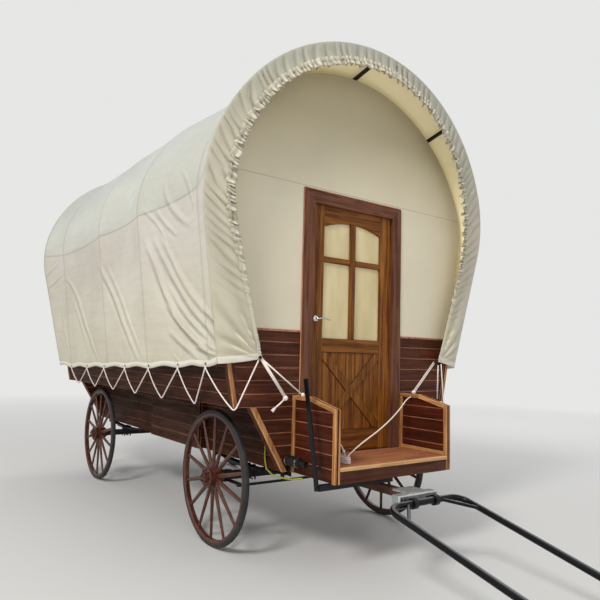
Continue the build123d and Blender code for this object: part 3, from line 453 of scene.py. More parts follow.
def drape(tree, place):
    """The relief of the creases and of a fine crinkle, in metres."""
    noise = put(tree, "ShaderNodeTexNoise", {"Vector": place, "Scale": 2.2, "Detail": 1.0})
    wander = vector_of(tree, "SUBTRACT", noise.outputs["Color"], (0.5, 0.5, 0.5))
    wander = vector_of(tree, "MULTIPLY", wander, (WANDER, 0.0, WANDER))
    side = vector_of(tree, "ADD", vector_of(tree, "MULTIPLY", place, (1.0, 0.0, 1.0)), wander)
    relief = 0.0
    for x0, z0, x1, z1, bend, width, tall in CREASES:
        one = use_group(tree, crease, Place=side, From=(x0 + REAR_AXLE, 0, z0), To=(x1 + REAR_AXLE, 0, z1),
                        Bend=bend, Width=width, Height=tall)["Height"]
        relief = math_of(tree, "ADD", relief, one)
    slanted = put(tree, "ShaderNodeMapping", {"Vector": place, "Scale": (0.9, 0.9, 5.0),
                                              "Rotation": (0.0, -0.75, 0.0)}).outputs[0]
    crinkle = noise_of(tree, slanted, 1.6, 2.0)
    return math_of(tree, "ADD", relief, ramp_of(tree, crinkle, 0.40, 0.70, 0.0, CRINKLE))


def weave_height(tree):
    """The crossing threads, counted along the cloth's own map."""
    thread = parts_of(tree, put(tree, "ShaderNodeUVMap", uv_map="cloth").outputs[0])
    warp = math_of(tree, "SINE", times(tree, thread[0], THREADS))
    weft = math_of(tree, "SINE", times(tree, thread[1], THREADS))
    return times(tree, warp, weft)


def inner_mask(tree, place, normal):
    """One where a face looks in at the middle of the roof's arch, zero where it looks out."""
    spoke = vector_of(tree, "MULTIPLY", place, (0.0, 1.0, 1.0))
    spoke = vector_of(tree, "SUBTRACT", spoke, (0.0, 0.0, ROOF_MIDDLE))
    outward = vector_of(tree, "DOT_PRODUCT", normal, vector_of(tree, "NORMALIZE", spoke))
    return ramp_of(tree, outward, -0.10, -0.50)


print("thread pitch:", round(2 * math.pi / THREADS * 1000, 1), "mm")

# %% [markdown]
# The cover and its gathered ends are the same cotton, but the ends carry no creases from the ties, and a
# painted shade darkens them more towards the top. One function makes both, each with its own tones.

# %% The cloth finishes
def cloth_finish(name, creased, tones, top=(1.0, 1.0, 1.0)):
    """Heavy cotton. A tone is a tint that takes over between two heights, top is a painted shade for what
    faces up.
    """
    material, tree, shader = new_material(name)
    place, normal = places_of(tree)["Object"], places_of(tree)["Normal"]
    cloud = ramp_of(tree, noise_of(tree, place, 1.7, 7.0, Roughness=0.6), 0.3, 0.7)
    soil_and_shade = mark_of(tree, "soil_and_shade")
    cloth = blend_of(tree, cloud, rgb(202, 196, 179), rgb(216, 211, 197))
    cloth = blend_of(tree, soil_and_shade, cloth, SOIL_AND_SHADE_TONE)
    height = parts_of(tree, place)[2]
    tint = (*LOW_TINT, 1.0)
    for low, high, tone in tones:
        tint = blend_of(tree, ramp_of(tree, height, low, high), tint, (*tone, 1.0))
    cloth = blend_of(tree, 1.0, cloth, tint, "MULTIPLY")
    facing_up_shade = ramp_of(tree, parts_of(tree, normal)[2], 0.25, 0.75)
    cloth = blend_of(tree, facing_up_shade, cloth, (*top, 1.0), "MULTIPLY")
    # Painted light: the inner face is paler and glows weakly, standing in for daylight through the cloth.
    inner = inner_mask(tree, place, normal)
    glow = blend_of(tree, inner, (0.0, 0.0, 0.0, 1.0), GLOW_TONE)
    weave = put(tree, "ShaderNodeBump",
                {"Height": weave_height(tree), "Strength": 0.12, "Distance": 0.0006})
    if creased:
        relief = drape(tree, place)
        folds = put(tree, "ShaderNodeBump", {"Height": relief, "Strength": 1.0, "Distance": 1.0})
        wire(tree, weave, {"Normal": folds.outputs[0]})
    wire(tree, shader, {
        "Base Color": blend_of(tree, inner, cloth, INNER_LIT_TONE), "Roughness": 0.85, "Sheen Weight": 0.1,
        "Subsurface Weight": 0.3, "Subsurface Radius": (1.0, 0.9, 0.7), "Subsurface Scale": 0.008,
        "Emission Color": glow, "Emission Strength": GLOW, "Normal": weave.outputs[0]})
    return material


# The canvas's top tint is a painted shade that darkens what faces up.
canvas = cloth_finish("canvas", True, [(1.6, 2.5, (0.92, 0.905, 0.94)),
                                       (SEAM_Z - 0.004, SEAM_Z + 0.004, (0.86, 0.915, 0.95))],
                      top=(0.84, 0.88, 0.92))
# The gathered ends' last tone is painted shade: it darkens their upper part.
gathered_canvas = cloth_finish("gathered_canvas", False, [(1.6, 2.3, (0.87, 0.855, 0.80)),
                                                          (2.7, 3.7, (0.66, 0.68, 0.65))])
print("canvas nodes:", len(canvas.node_tree.nodes))

# %% [markdown]
# The bunched edge of the bonnets and the stitched hem are simpler cloths. In the door's lights a tan cloth
# hangs close behind the glass, so the panes read as flat tan with a soft shine.

# %% The frill, the hem and the door's lights
frill_cloth, tree, shader = new_material("frill_cloth")
soil_and_shade = mark_of(tree, "soil_and_shade")
# The marked parts take painted shade, dark in the ruffles' valleys.
ruffled = blend_of(tree, soil_and_shade, rgb(210, 204, 184), rgb(116, 107, 84))
wire(tree, shader, {"Base Color": ruffled, "Roughness": 0.85})
hem_cloth = plain_finish("hem_cloth", (220, 215, 198), 0.85, uneven=0.04, dirt=0.08, scale=20.0)

glass, tree, shader = new_material("tan_glass")
place = places_of(tree)["Object"]
hanging = put(tree, "ShaderNodeMapping", {"Vector": place, "Scale": (1.0, 3.0, 0.8),
                                          "Rotation": (0.35, 0.0, 0.0)}).outputs[0]
shadow = ramp_of(tree, noise_of(tree, hanging, 2.2, 2.0), 0.35, 0.65)
tan = blend_of(tree, shadow, rgb(204, 186, 136), rgb(222, 206, 160))
wire(tree, shader, {"Base Color": tan, "Roughness": 0.25, "Coat Weight": 0.15})
print("all finishes:", len(bpy.data.materials))

# %% [markdown]
# ## Tools for making meshes
# Two makers serve most of the wagon. `Timber` collects boards: each is an outline on its outer face, a
# depth and a small chamfer all round, because a sawn board never has a perfectly sharp edge. `lathe`
# turns a profile about a wheel's axle, as a wood turner would.

# %% Mesh helpers
scene = bpy.context.scene


def new_piece(name, points, faces, finishes, smooth=False):
    mesh = bpy.data.meshes.new(name)
    mesh.from_pydata([tuple(p) for p in points], [], faces)
    for finish in finishes if isinstance(finishes, (list, tuple)) else [finishes]:
        mesh.materials.append(finish)
    mesh.polygons.foreach_set("use_smooth", [smooth] * len(mesh.polygons))
    mesh.update()
    piece = bpy.data.objects.new(name, mesh)
    scene.collection.objects.link(piece)
    return piece


def mark(piece, name, values, domain="FACE"):
    """Stores one number per face or per vertex."""
    piece.data.attributes.new(name, "FLOAT", domain).data.foreach_set("value", list(values))


def fasten(piece, body, slot, *nodes):
    """Puts a finished piece on its body and takes over its solids. Its slot is not used."""
    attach(piece, body)
    if nodes:
        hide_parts(*nodes)
    return piece


def newell(loop):
    """The direction that a flat loop faces."""
    total = Vector((0, 0, 0))
    for a, b in zip(loop, loop[1:] + loop[:1]):
        total += a.cross(b)
    return total.normalized()


def inset(loop, normal, distance):
    """The loop moved inwards in its own plane, corner by corner."""
    moved = []
    for a, b, c in zip(loop[-1:] + loop[:-1], loop, loop[1:] + loop[:1]):
        n1 = normal.cross(b - a).normalized()
        n2 = normal.cross(c - b).normalized()
        moved.append(b + (n1 + n2) * (distance / (1 + n1.dot(n2))))
    return moved


class Timber:
    """Collects boards with chamfered edges for one piece."""

    def __init__(self, seed):
        self.dice = random.Random(seed)
        self.points, self.faces, self.own, self.edge, self.finish = [], [], [], [], []

    def board(self, outline, depth, chamfer=0.003, finish=0):
        loop = [Vector(p) for p in outline]
        normal = newell(loop)
        if normal.dot(depth) > 0:
            loop.reverse()
            normal = -normal
        deep = depth.normalized()
        rings = [inset(loop, normal, chamfer), [p + deep * chamfer for p in loop],
                 [p + depth - deep * chamfer for p in loop],
                 [p + depth for p in inset(loop, normal, chamfer)]]
        first, count = len(self.points), len(loop)
        for ring in rings:
            self.points += ring
        index = lambda ring, i: first + ring * count + i % count
        new = [[index(0, i) for i in range(count)], [index(3, i) for i in reversed(range(count))]]
        edge = [0.0, 0.0]
        for ring in range(3):
            for i in range(count):
                new.append([index(ring, i), index(ring + 1, i), index(ring + 1, i + 1), index(ring, i + 1)])
                edge.append(0.0 if ring == 1 else 1.0)
        self.faces += new
        self.edge += edge
        self.own += [self.dice.random()] * len(new)
        self.finish += [finish] * len(new)

    def bar(self, x0, x1, y0, y1, z0, z1, chamfer=0.003, finish=0):
        """A straight board given by its limits, measured from the rear axle."""
        if x1 - x0 <= min(y1 - y0, z1 - z0):
            outline = [at(x1, y0, z0), at(x1, y1, z0), at(x1, y1, z1), at(x1, y0, z1)]
            depth = Vector((x0 - x1, 0, 0))
        elif y1 - y0 <= z1 - z0:
            outline = [at(x0, y0, z0), at(x1, y0, z0), at(x1, y0, z1), at(x0, y0, z1)]
            depth = Vector((0, y1 - y0, 0))
        else:
            outline = [at(x0, y0, z1), at(x1, y0, z1), at(x1, y1, z1), at(x0, y1, z1)]
            depth = Vector((0, 0, z0 - z1))
        self.board(outline, depth, chamfer, finish)

    def upright(self, x, low, high, depth, chamfer=0.003, finish=0):
        """A board across the wagon. low and high are an edge's two ends in y, and its height."""
        (a, b, z0), (c, d, z1) = low, high
        self.board([at(x, a, z0), at(x, b, z0), at(x, d, z1), at(x, c, z1)], depth, chamfer, finish)

    def done(self, name, finishes):
        piece = new_piece(name, self.points, self.faces, finishes)
        mark(piece, "board", self.own)
        mark(piece, "chamfered", self.edge)
        piece.data.polygons.foreach_set("material_index", self.finish)
        return piece


def lathe(profile, centre, turns=96, smooth=True):
    """Points and faces of a closed profile of (radius, y) turned about an axle."""
    count = len(profile)
    points = []
    for i in range(turns):
        a = 2 * math.pi * i / turns
        points += [centre + Vector((r * math.sin(a), y, r * math.cos(a))) for r, y in profile]
    faces = []
    for i in range(turns):
        j = (i + 1) % turns
        for k in range(count):
            m = (k + 1) % count
            faces.append([i * count + k, i * count + m, j * count + m, j * count + k])
    return points, faces


def outwards(piece):
    """Recalculates the normals of a closed mesh that was made without care for its winding."""
    form = bmesh.new()
    form.from_mesh(piece.data)
    bmesh.ops.recalc_face_normals(form, faces=form.faces)
    form.to_mesh(piece.data)
    form.free()
    return piece


def tube(path, radius, sides=8, closed=False):
    """Points and faces of a round rod along a path of vectors, with flat ends."""
    path = [Vector(p) for p in path]
    points, faces = [], []
    side = None
    last = len(path) - 1
    for i, p in enumerate(path):
        ahead = (path[min(i + 1, last)] - path[max(i - 1, 0)]).normalized()
        if side is None:
            side = ahead.orthogonal().normalized()
        side = (side - ahead * side.dot(ahead)).normalized()
        up = ahead.cross(side)
        r = radius(i / last) if callable(radius) else radius
        for k in range(sides):
            a = 2 * math.pi * k / sides
            points.append(p + (side * math.cos(a) + up * math.sin(a)) * r)
    for i in range(last):
        for k in range(sides):
            m = (k + 1) % sides
            faces.append([i * sides + k, i * sides + m, (i + 1) * sides + m, (i + 1) * sides + k])
    faces.append(list(reversed(range(sides))))
    faces.append([last * sides + k for k in range(sides)])
    return points, faces


def joined(parts):
    """Several (points, faces) as one."""
    points, faces = [], []
    for new_points, new_faces in parts:
        first = len(points)
        points += list(new_points)
        faces += [[first + i for i in face] for face in new_faces]
    return points, faces


def turned(stations, place, sides):
    """A round body from stations along its axis, each a distance and a radius."""
    radii = [radius for _, radius in stations]
    radius_at = lambda t: np.interp(t, np.linspace(0, 1, len(radii)), radii)
    return tube([place(distance) for distance, _ in stations], radius_at, sides)


def round_piece(name, parts, finish, body, slot, *nodes, smooth=False):
    """Joins round parts into one piece and puts it on its body."""
    piece = outwards(new_piece(name, *joined(parts), finish, smooth=smooth))
    return fasten(piece, body, slot, *nodes)


print("helpers ready")

# %% [markdown]
# ## The canvas roof
# The cover is one sewn sheet, stretched over bent bows like the tilt of an old road wagon. Each bow
# sets a cross-section: two nearly straight legs, two round shoulders and a flatter crown. The sheet
# is therefore made as a grid: around the section in one direction, along the wagon in the other.
# Stretched cloth runs straight between two bows and sinks a little, which keeps it from looking like
# sheet metal.

# %% The bows' cross-sections
HEM_LINE = 1.5


class Arch:
    """One cross-section: x and lean place its plane, the rest is its outline."""

    def __init__(self, x, lean, half_w, crown, shoulder_z, shoulder_r, slope, hem):
        self.x, self.hem = x, hem
        self.tilt = math.atan(lean)
        up = lambda z: (z - HEM_LINE) / math.cos(self.tilt)
        cy, cv = half_w - shoulder_r, up(shoulder_z)
        rise = up(crown) - cv
        crown_r = (cy ** 2 + rise ** 2 - shoulder_r ** 2) / (2 * (rise - shoulder_r))
        low = up(crown) - crown_r
        leg, join = -math.atan(slope), math.atan((cv - low) / cy)
        spread = np.linspace(0, 1, 60)
        arc = lambda c0, c1, r, a: (c0 + r * np.cos(a), c1 + r * np.sin(a))
        sy, sv = arc(cy, cv, shoulder_r, leg + (join - leg) * spread)
        ky, kv = arc(0, low, crown_r, join + (math.pi / 2 - join) * spread)
        foot = up(hem)
        fy = sy[0] - (sv[0] - foot) * slope
        y = np.concatenate([fy + (sy[0] - fy) * spread, sy, ky])
        v = np.concatenate([foot + (sv[0] - foot) * spread, sv, kv])
        self.y = np.concatenate([-y, y[::-1]])
        self.v = np.concatenate([v, v[::-1]])

    def line(self, count):
        """Evenly spaced points from the right foot over the crown to the left foot."""
        steps = np.hypot(np.diff(self.y), np.diff(self.v))
        run = np.concatenate([[0], np.cumsum(steps)])
        self.length = run[-1]
        want = np.linspace(0, run[-1], count)
        y, v = np.interp(want, run, self.y), np.interp(want, run, self.v)
        return np.stack([self.x + REAR_AXLE + v * math.sin(self.tilt), y,
                         HEM_LINE + v * math.cos(self.tilt)], axis=1)


MIDDLE = (FRONT + BACK) / 2
front_rim = Arch(3.610, 0.09, 1.273, 3.941, 2.711, 1.000, 0.30, 1.500)
front_hoop = Arch(3.540, 0.10, 1.500, 4.060, 2.700, 1.080, 0.20, 1.445)
wall_bow = Arch(3.360, 0.0, 1.400, 3.950, 2.730, 0.900, 0.13, 1.420)
mid_bows = [Arch(x, 0.0, 1.400, 4.020, 2.800, 0.900, 0.13, hem)
            for x, hem in ((2.150, 1.370), (1.050, 1.340), (-0.350, 1.300))]
rear_hoop = Arch(2 * MIDDLE - 3.540, -0.10, 1.500, 4.060, 2.700, 1.080, 0.20, 1.320)
rear_rim = Arch(2 * MIDDLE - 3.610, -0.09, 1.273, 3.941, 2.711, 1.000, 0.30, 1.400)
arches = [rear_hoop] + mid_bows[::-1] + [wall_bow, front_hoop]
print("arches:", len(arches), "hem to hem:", round(mid_bows[0].line(9)[0][2], 2))

# %% [markdown]
# The folds come from the way the cover is tied down: from every tie they run up and back across the
# side. Each fold is a soft ridge with a shallow valley beside it, along a line from the table of creases.
# The mesh takes only the broad ones, at half their height, and the shading takes them all.

# %% The main sheet
AROUND = 280
STEP = 0.030
PURLIN_Y = 0.930
BOW_HALF = 0.024
CLOTH = 0.003
TIE_PITCH = 0.623
FIRST_TIE = -0.315
ties = [FIRST_TIE + TIE_PITCH * i for i in range(6)] + [3.300]
BROAD = 0.030
IN_MESH = 0.5
SAG_ALL, SAG_CROWN, SAG_SIDE, BY_RAIL = 0.006, 0.024, 0.046, 0.12
CRUMPLES, CRUMPLE = 14, 0.0022


def fold_height(x, z):
    """The heights of the broad creases at points of the cover's side."""
    total = np.zeros_like(x)
    for x0, z0, x1, z1, bend, width, tall in CREASES:
        if width < BROAD:
            continue
        run = math.hypot(x1 - x0, z1 - z0)
        ux, uz = (x1 - x0) / run, (z1 - z0) / run
        share = np.clip(((x - x0) * ux + (z - z0) * uz) / run, 0, 1)
        arched = 4 * share * (1 - share)
        beside = ((z - z0) * ux - (x - x0) * uz - bend * arched) / width
        total += tall * (1 - 1.4 * beside ** 2) * np.exp(-beside ** 2) * arched ** 0.6
    return total


def sheet_grid():
    """The cover's outer face as a grid, with the cloth's own map in metres."""
    lines = [arch.line(AROUND) for arch in arches]
    rows, spans = [], []
    for a, b, low, high in zip(lines, lines[1:], arches, arches[1:]):
        length = abs(high.x - low.x)
        count = max(2, round(length / STEP))
        for i in range(count):
            t = i / count
            free = np.clip((t * length - BOW_HALF) / (length - 2 * BOW_HALF), 0, 1)
            rows.append(a * (1 - t) + b * t)
            spans.append((4 * free * (1 - free)) ** 0.75 * min(1.0, length))
    rows.append(lines[-1])
    spans.append(0.0)
    return np.array(rows), np.array(spans)


def grid_normals(grid):
    """The way each point of a grid faces, out of the roof."""
    along = np.gradient(grid, axis=0)
    around = np.gradient(grid, axis=1)
    normal = np.cross(around, along)
    normal /= np.linalg.norm(normal, axis=2, keepdims=True)
    return normal if normal[grid.shape[0] // 2, grid.shape[1] // 2, 2] > 0 else -normal


grid, spans = sheet_grid()
normal = grid_normals(grid)
x, y, z = grid[..., 0] - REAR_AXLE, grid[..., 1], grid[..., 2]
share = np.linspace(0, 1, AROUND)[None, :]
side = np.clip((3.1 - z) / 0.5, 0, 1)
past_purlin = np.clip((np.abs(y) - PURLIN_Y) / 0.22, 0, 1)
clear_of_rail = np.clip((z - 1.80) / 0.45, 0, 1)
between = np.sin(np.pi * np.clip(np.abs(y) / PURLIN_Y, 0, 1)) ** 2
sink = spans[:, None] * (SAG_ALL + SAG_CROWN * between + SAG_SIDE * past_purlin)
sink *= BY_RAIL + (1 - BY_RAIL) * clear_of_rail
to_end = np.minimum(np.arange(len(spans)), np.arange(len(spans))[::-1])[:, None]
rise = fold_height(x, z) * IN_MESH * side * np.clip(to_end / 4, 0, 1)
crumple = np.zeros_like(x)
dice = random.Random(7)
for _ in range(CRUMPLES):
    heading = dice.uniform(0.5, 1.1)
    wave_length = dice.uniform(0.10, 0.34)
    run = (x * math.sin(heading) + z * math.cos(heading)) * 2 * math.pi / wave_length
    crumple += np.sin(run + dice.uniform(0, 6.28)) * wave_length * np.sin(x * dice.uniform(1, 4) + z * 2)
crumple *= CRUMPLE * side * np.clip(spans[:, None] * 3, 0, 1)
grid = grid + normal * (rise - sink + crumple)[..., None]
print("main sheet:", grid.shape)

# %% [markdown]
# A tie pulls the hem down at its eyelet. Between two ties the hem is free and rises in a shallow scallop,
# and short stiff folds run out from each eyelet like the spokes of a fan. Both fade within a hand's
# breadth. The cloth itself is a helper, because the bonnets, the hem and the seams use it too.

# %% The hem's scallops and the pull of the ties
SCALLOP, PULL = 0.020, 0.006
hem_z = np.minimum(grid[:, 0, 2], grid[:, -1, 2])[:, None]
above = grid[..., 2] - hem_z
nearest = np.min(np.abs(x[..., None] - np.array(ties)), axis=-1)
rise = SCALLOP * np.sin(np.clip(nearest / TIE_PITCH, 0, 0.5) * np.pi) ** 2 * np.exp(-above / 0.10)
rise = rise * np.clip((3.42 - x) / 0.12, 0, 1) * np.clip((x - BACK) / 0.1, 0, 1)
grid[..., 2] += np.where(above < 0.5, rise, 0.0)
reach = np.hypot(nearest, above)
angle = np.arctan2(above, nearest + 1e-6)
pull = PULL * np.cos(angle * 7.0) * np.exp(-reach / 0.16) * np.clip(reach / 0.05, 0, 1)
grid += normal * np.where(above < 0.8, pull, 0.0)[..., None]


def cloth_piece(name, grid, soil_and_shade=None, thick=CLOTH, finish=canvas):
    """A grid of points as cloth: faces out, mapped in metres, with its thickness inside."""
    rows, columns = grid.shape[:2]
    index = np.arange(rows * columns).reshape(rows, columns)
    quads = np.stack([index[:-1, :-1], index[:-1, 1:], index[1:, 1:], index[1:, :-1]], axis=-1)
    quads = quads.reshape(-1, 4)
    middle = grid_normals(grid)[rows // 2, columns // 2]
    a, b, c = (grid.reshape(-1, 3)[quads[len(quads) // 2][i]] for i in (0, 1, 3))
    if np.dot(np.cross(b - a, c - a), middle) < 0:
        quads = quads[:, ::-1]
    piece = new_piece(name, grid.reshape(-1, 3), quads.tolist(), finish, smooth=True)
    u = np.concatenate([[0], np.cumsum(np.linalg.norm(np.diff(grid[:, columns // 2], axis=0), axis=1))])
    v = np.concatenate([[0], np.cumsum(np.linalg.norm(np.diff(grid[rows // 2], axis=0), axis=1))])
    maps = np.stack(np.meshgrid(u, v, indexing="ij"), axis=-1).reshape(-1, 2)
    layer = piece.data.uv_layers.new(name="cloth")
    layer.data.foreach_set("uv", maps[quads.ravel()].ravel())
    mark(piece, "soil_and_shade", (np.zeros(rows * columns) if soil_and_shade is None else soil_and_shade.ravel()).tolist(), "POINT")
    solid = piece.modifiers.new("thickness", "SOLIDIFY")
    solid.thickness = thick
    solid.offset = -1.0
    return piece


soil_and_shade = 0.22 * np.exp(-above / 0.08) * (above < 0.6)
dice = random.Random(29)
edges = [BACK - 1.0] + sorted(arch.x for arch in mid_bows) + [FRONT + 1.0]
for x0, x1 in zip(edges, edges[1:]):
    for low, high in ((0.0, SEAM_Z), (SEAM_Z, 9.0)):
        soil_and_shade = soil_and_shade + dice.uniform(0.0, 0.16) * (x >= x0) * (x < x1) * (z >= low) * (z < high)
# Painted shade: a thin dark line along the seam at every bow.
for arch in arches:
    soil_and_shade = soil_and_shade + 0.35 * np.exp(-((x - arch.x - (z - HEM_LINE) * math.tan(arch.tilt)) / 0.010) ** 2)
cover = cloth_piece("canvas_sheet", grid, np.clip(soil_and_shade, 0, 0.6))
print("cover faces:", len(cover.data.polygons))

# %% [markdown]
# ## The two bonnets
# Beyond each end hoop the cloth is gathered on a drawstring, as on a real road wagon's bonnet. The gathers
# are radial: shallow at the hoop and deep at the rim, where the cloth ends in a small frill. A gather's
# wave has to be finer than the main sheet's grid, so each bonnet is a band of its own with many
# more points around it.

# %% The gathered bands
BONNET_AROUND = 1000
BONNET_ROWS = 22
GATHERS = 80
LOOSE_Z, TIGHTENS_OVER = 1.85, 0.65
DRAWN_TO = 2.70
FAN, BULGE, HOLLOW = 0.013, 0.036, 0.008
PULLED_IN = ((0, 0.10, 0.22, 0.33, 0.42, 0.50, 0.60, 0.72, 0.80, 0.88, 1.0),
             (-0.015, -0.025, -0.030, 0.010, 0.050, 0.065, 0.080, 0.095, 0.095, 0.040, 0.0))


def slow_noise(count, seed, knots):
    """A smooth random line from -1 to 1."""
    dice = random.Random(seed)
    values = [dice.uniform(-1, 1) for _ in range(knots)]
    return np.interp(np.linspace(0, knots - 1, count), range(knots), values)


def gathered(z):
    """How tightly the drawstring gathers the cloth: fully above, hardly at the free corners."""
    return 0.12 + 0.88 * np.clip((z - LOOSE_Z) / TIGHTENS_OVER, 0, 1)


def bonnet(name, hoop, rim, seed):
    inner, outer = hoop.line(BONNET_AROUND), rim.line(BONNET_AROUND)
    s = np.linspace(0, 1, BONNET_AROUND)
    to_centre = np.array([0, 0, DRAWN_TO]) - outer * (0, 1, 1)
    to_centre /= np.linalg.norm(to_centre, axis=1, keepdims=True)
    outer = outer + to_centre * np.interp(s, *PULLED_IN)[:, None]
    share = np.linspace(0, 1, BONNET_ROWS)[:, None, None]
    band = inner[None] * (1 - share) + outer[None] * share
    out = grid_normals(band)
    t = share[..., 0]
    slant = 0.026 * t * np.cos(np.pi * s)[None]
    wave = 2 * math.pi * (GATHERS * (s[None] + slant) + 0.6 * slow_noise(BONNET_AROUND, seed, 50)[None])
    size = 0.70 + 0.45 * slow_noise(BONNET_AROUND, seed + 1, 90)
    deep = (0.0035 + 0.0125 * t ** 0.9) * np.clip(t / 0.06, 0, 1)
    waves = (np.sin(wave) + 0.35 * np.sin(2 * wave + 0.9)) * size[None] * deep
    waves *= gathered(band[..., 2])
    low_z = np.minimum(band[:, :1, 2], band[:, -1:, 2])
    lift = band[..., 2] - low_z
    turn = np.arctan2(lift, (1.02 - t) * 0.28)
    fan = np.sin(turn * 17.0) * FAN * np.exp(-lift / 0.65) * np.clip(lift / 0.12, 0, 1)
    waves += fan * np.clip(np.sin(math.pi * (0.12 + 0.80 * t)), 0, 1)
    bulge = BULGE * np.sin(math.pi * t) * np.clip((2.25 - band[..., 2]) / 0.5, 0, 1)
    hollow = HOLLOW * np.sin(math.pi * t) ** 2
    band = band + out * (waves * np.clip(t / 0.2, 0, 1) + bulge - hollow)[..., None]
    # Painted shade: darker in the gathers' valleys, and a little over the whole band.
    shade = 0.08 + np.clip(-waves / 0.012, 0, 1) * 0.55
    return cloth_piece(name, band, shade, finish=gathered_canvas), band


front_bonnet, front_band = bonnet("front_bonnet", front_hoop, front_rim, 11)
rear_bonnet, rear_band = bonnet("rear_bonnet", rear_hoop, rear_rim, 23)
print("bonnet faces:", len(front_bonnet.data.polygons))

# %% [markdown]
# The frill is the cloth's own edge beyond the drawstring. The string pinches it, so its ruffles are
# narrowest there and open to both sides. They are nearly three times as fine as the gathers. Slow noise
# varies their spacing and size, because cloth on a string never bunches evenly.

# %% The frills
FRILL_AROUND = 2800
FRILL_ROWS = 9
RUFFLES = 215
PINCH = 0.40


def frill(name, band, seed, depth=0.070):
    """A ruffled edge over the rim: the cloth's own edge, bunched by the drawstring."""
    count = FRILL_AROUND
    pick = np.linspace(0, band.shape[1] - 1, count)
    low = np.floor(pick).astype(int)
    high = np.minimum(low + 1, band.shape[1] - 1)
    blend = (pick - low)[:, None]
    edge = band[-1][low] * (1 - blend) + band[-1][high] * blend
    before = band[-4][low] * (1 - blend) + band[-4][high] * blend
    onward = edge - before
    onward /= np.linalg.norm(onward, axis=1, keepdims=True)
    faces_out = grid_normals(band)[-3]
    out = faces_out[low] * (1 - blend) + faces_out[high] * blend
    s = np.linspace(0, 1, count)
    wave = 2 * math.pi * (RUFFLES * s + 0.7 * slow_noise(count, seed, 150))
    tight = gathered(edge[:, 2])
    size = 0.80 + 0.30 * slow_noise(count, seed + 5, 300)
    ragged = 0.006 * slow_noise(count, seed + 9, 460)
    rows, shade = [], []
    for t in np.linspace(0, 1, FRILL_ROWS):
        spread = abs(t - PINCH) / (1 - PINCH)
        swing = np.sin(wave + 1.5 * np.sin(0.31 * wave) * t) * (0.003 + 0.0125 * spread) * size
        swing = (swing + 0.003 * np.sin(0.43 * wave + 1)) * tight
        reach = depth * (t - 0.72) * (0.35 + 0.65 * tight) + ragged * tight * (t > 0.9)
        rows.append(edge + onward * reach[:, None] + out * (swing + 0.008 + 0.004 * tight)[:, None])
        # Painted shade: darker in the ruffles' valleys.
        shade.append(np.clip(0.55 - swing / 0.010, 0, 1) * tight * (0.55 + 0.45 * (spread < 0.2)))
    return cloth_piece(name, np.array(rows), np.array(shade), thick=0.002, finish=frill_cloth)


front_frill = frill("front_frill", front_band, 31)
rear_frill = frill("rear_frill", rear_band, 37)
print("frill faces:", len(front_frill.data.polygons))

# %% [markdown]
# The hem is folded double and stitched, so a second, paler band lies on the cover along both bottom
# edges. Narrow laps cover the seams where two cloths meet over a bow, and painted shade makes them darker.
# Both are cut from the cover's own grid and lifted by their thickness, which keeps them on the cloth
# wherever it folds.

# %% Hem bands and seam laps
normal = grid_normals(grid)


def lifted(rows, columns, height):
    return (grid + normal * height)[rows, columns]


HEM_T = 0.0025
LAP_T, LAP_UP, LAP_SHADE = 0.0018, 0.0015, 0.40
LAP_HALF, LONG_LAP_HALF = 0.011, 0.009
hems = []
for label, columns in (("right", slice(0, 3)), ("left", slice(-3, None))):
    hems.append(cloth_piece("hem_" + label, lifted(slice(None), columns, HEM_T), thick=HEM_T,
                            finish=hem_cloth))
for label, band in (("front", front_band), ("rear", rear_band)):
    raised = band + grid_normals(band) * HEM_T
    for hand, columns in (("right", slice(0, 8)), ("left", slice(-8, None))):
        hems.append(cloth_piece(f"hem_{label}_{hand}", raised[:, columns], thick=HEM_T, finish=hem_cloth))


def lap_over(name, centre, step, lengthwise):
    """A strip of cloth along a line on the cover. step is half its width."""
    band = np.array([centre - step, centre - step / 3, centre + step / 3, centre + step])
    if lengthwise:
        band = band.transpose(1, 0, 2)
    return cloth_piece(name, band, np.full(band.shape[:2], LAP_SHADE), thick=LAP_T)


laps = []
for number, arch in enumerate(mid_bows):
    row = int(np.argmin(np.abs(grid[:, AROUND // 2, 0] - REAR_AXLE - arch.x)))
    step = np.array([LAP_HALF, 0, 0])
    laps.append(lap_over(f"seam_lap_{number}", lifted(row, slice(None), LAP_UP), step, False))
for label, past in (("right", slice(0, AROUND // 2)), ("left", slice(AROUND // 2, AROUND))):
    column = int(np.argmin(np.abs(grid[grid.shape[0] // 2, past, 2] - SEAM_Z))) + past.start
    step = grid[:, column + 1] - grid[:, column - 1]
    step *= LONG_LAP_HALF / np.linalg.norm(step, axis=1, keepdims=True)
    laps.append(lap_over("long_lap_" + label, lifted(slice(None), column, LAP_UP), step, True))
print("hems and laps:", len(hems) + len(laps))

# %% [markdown]
# All this cloth is fastened to the body. The cover is the one large sheet.

# %% Fastening the cloth
fasten(cover, "body", "canvas", "canvas_cover")
for piece in [front_bonnet, rear_bonnet, front_frill, rear_frill] + hems + laps:
    fasten(piece, "body", "canvas")

# %% [markdown]
# ## The plank body
# The cabin is clad in boards about 97 mm wide. Every wall is made of whole boards with a small chamfer on
# each edge, so the joints between them are real grooves. The chamfers carry the paler tone of rubbed
# wood, which is what draws the fine light lines between the boards.

# %% Side walls, lower walls and boxes between the wheels
GROOVE = 0.0006
CHAMFER = 0.0035
SIDE_T, LOWER_T = 0.045, 0.050
SKIRT_BACK, SKIRT_FRONT, SKIRT_Z = 1.190, 2.290, 0.655
SKIRT_HALF, SKIRT_T = 0.770, 0.025
LOWER_COURSES, UPPER_COURSES = 5, 6


def courses(z0, z1, count):
    """The lower and upper edge of each board of a wall."""
    pitch = (z1 - z0) / count
    return [(z0 + i * pitch + GROOVE / 2, z0 + (i + 1) * pitch - GROOVE / 2) for i in range(count)]


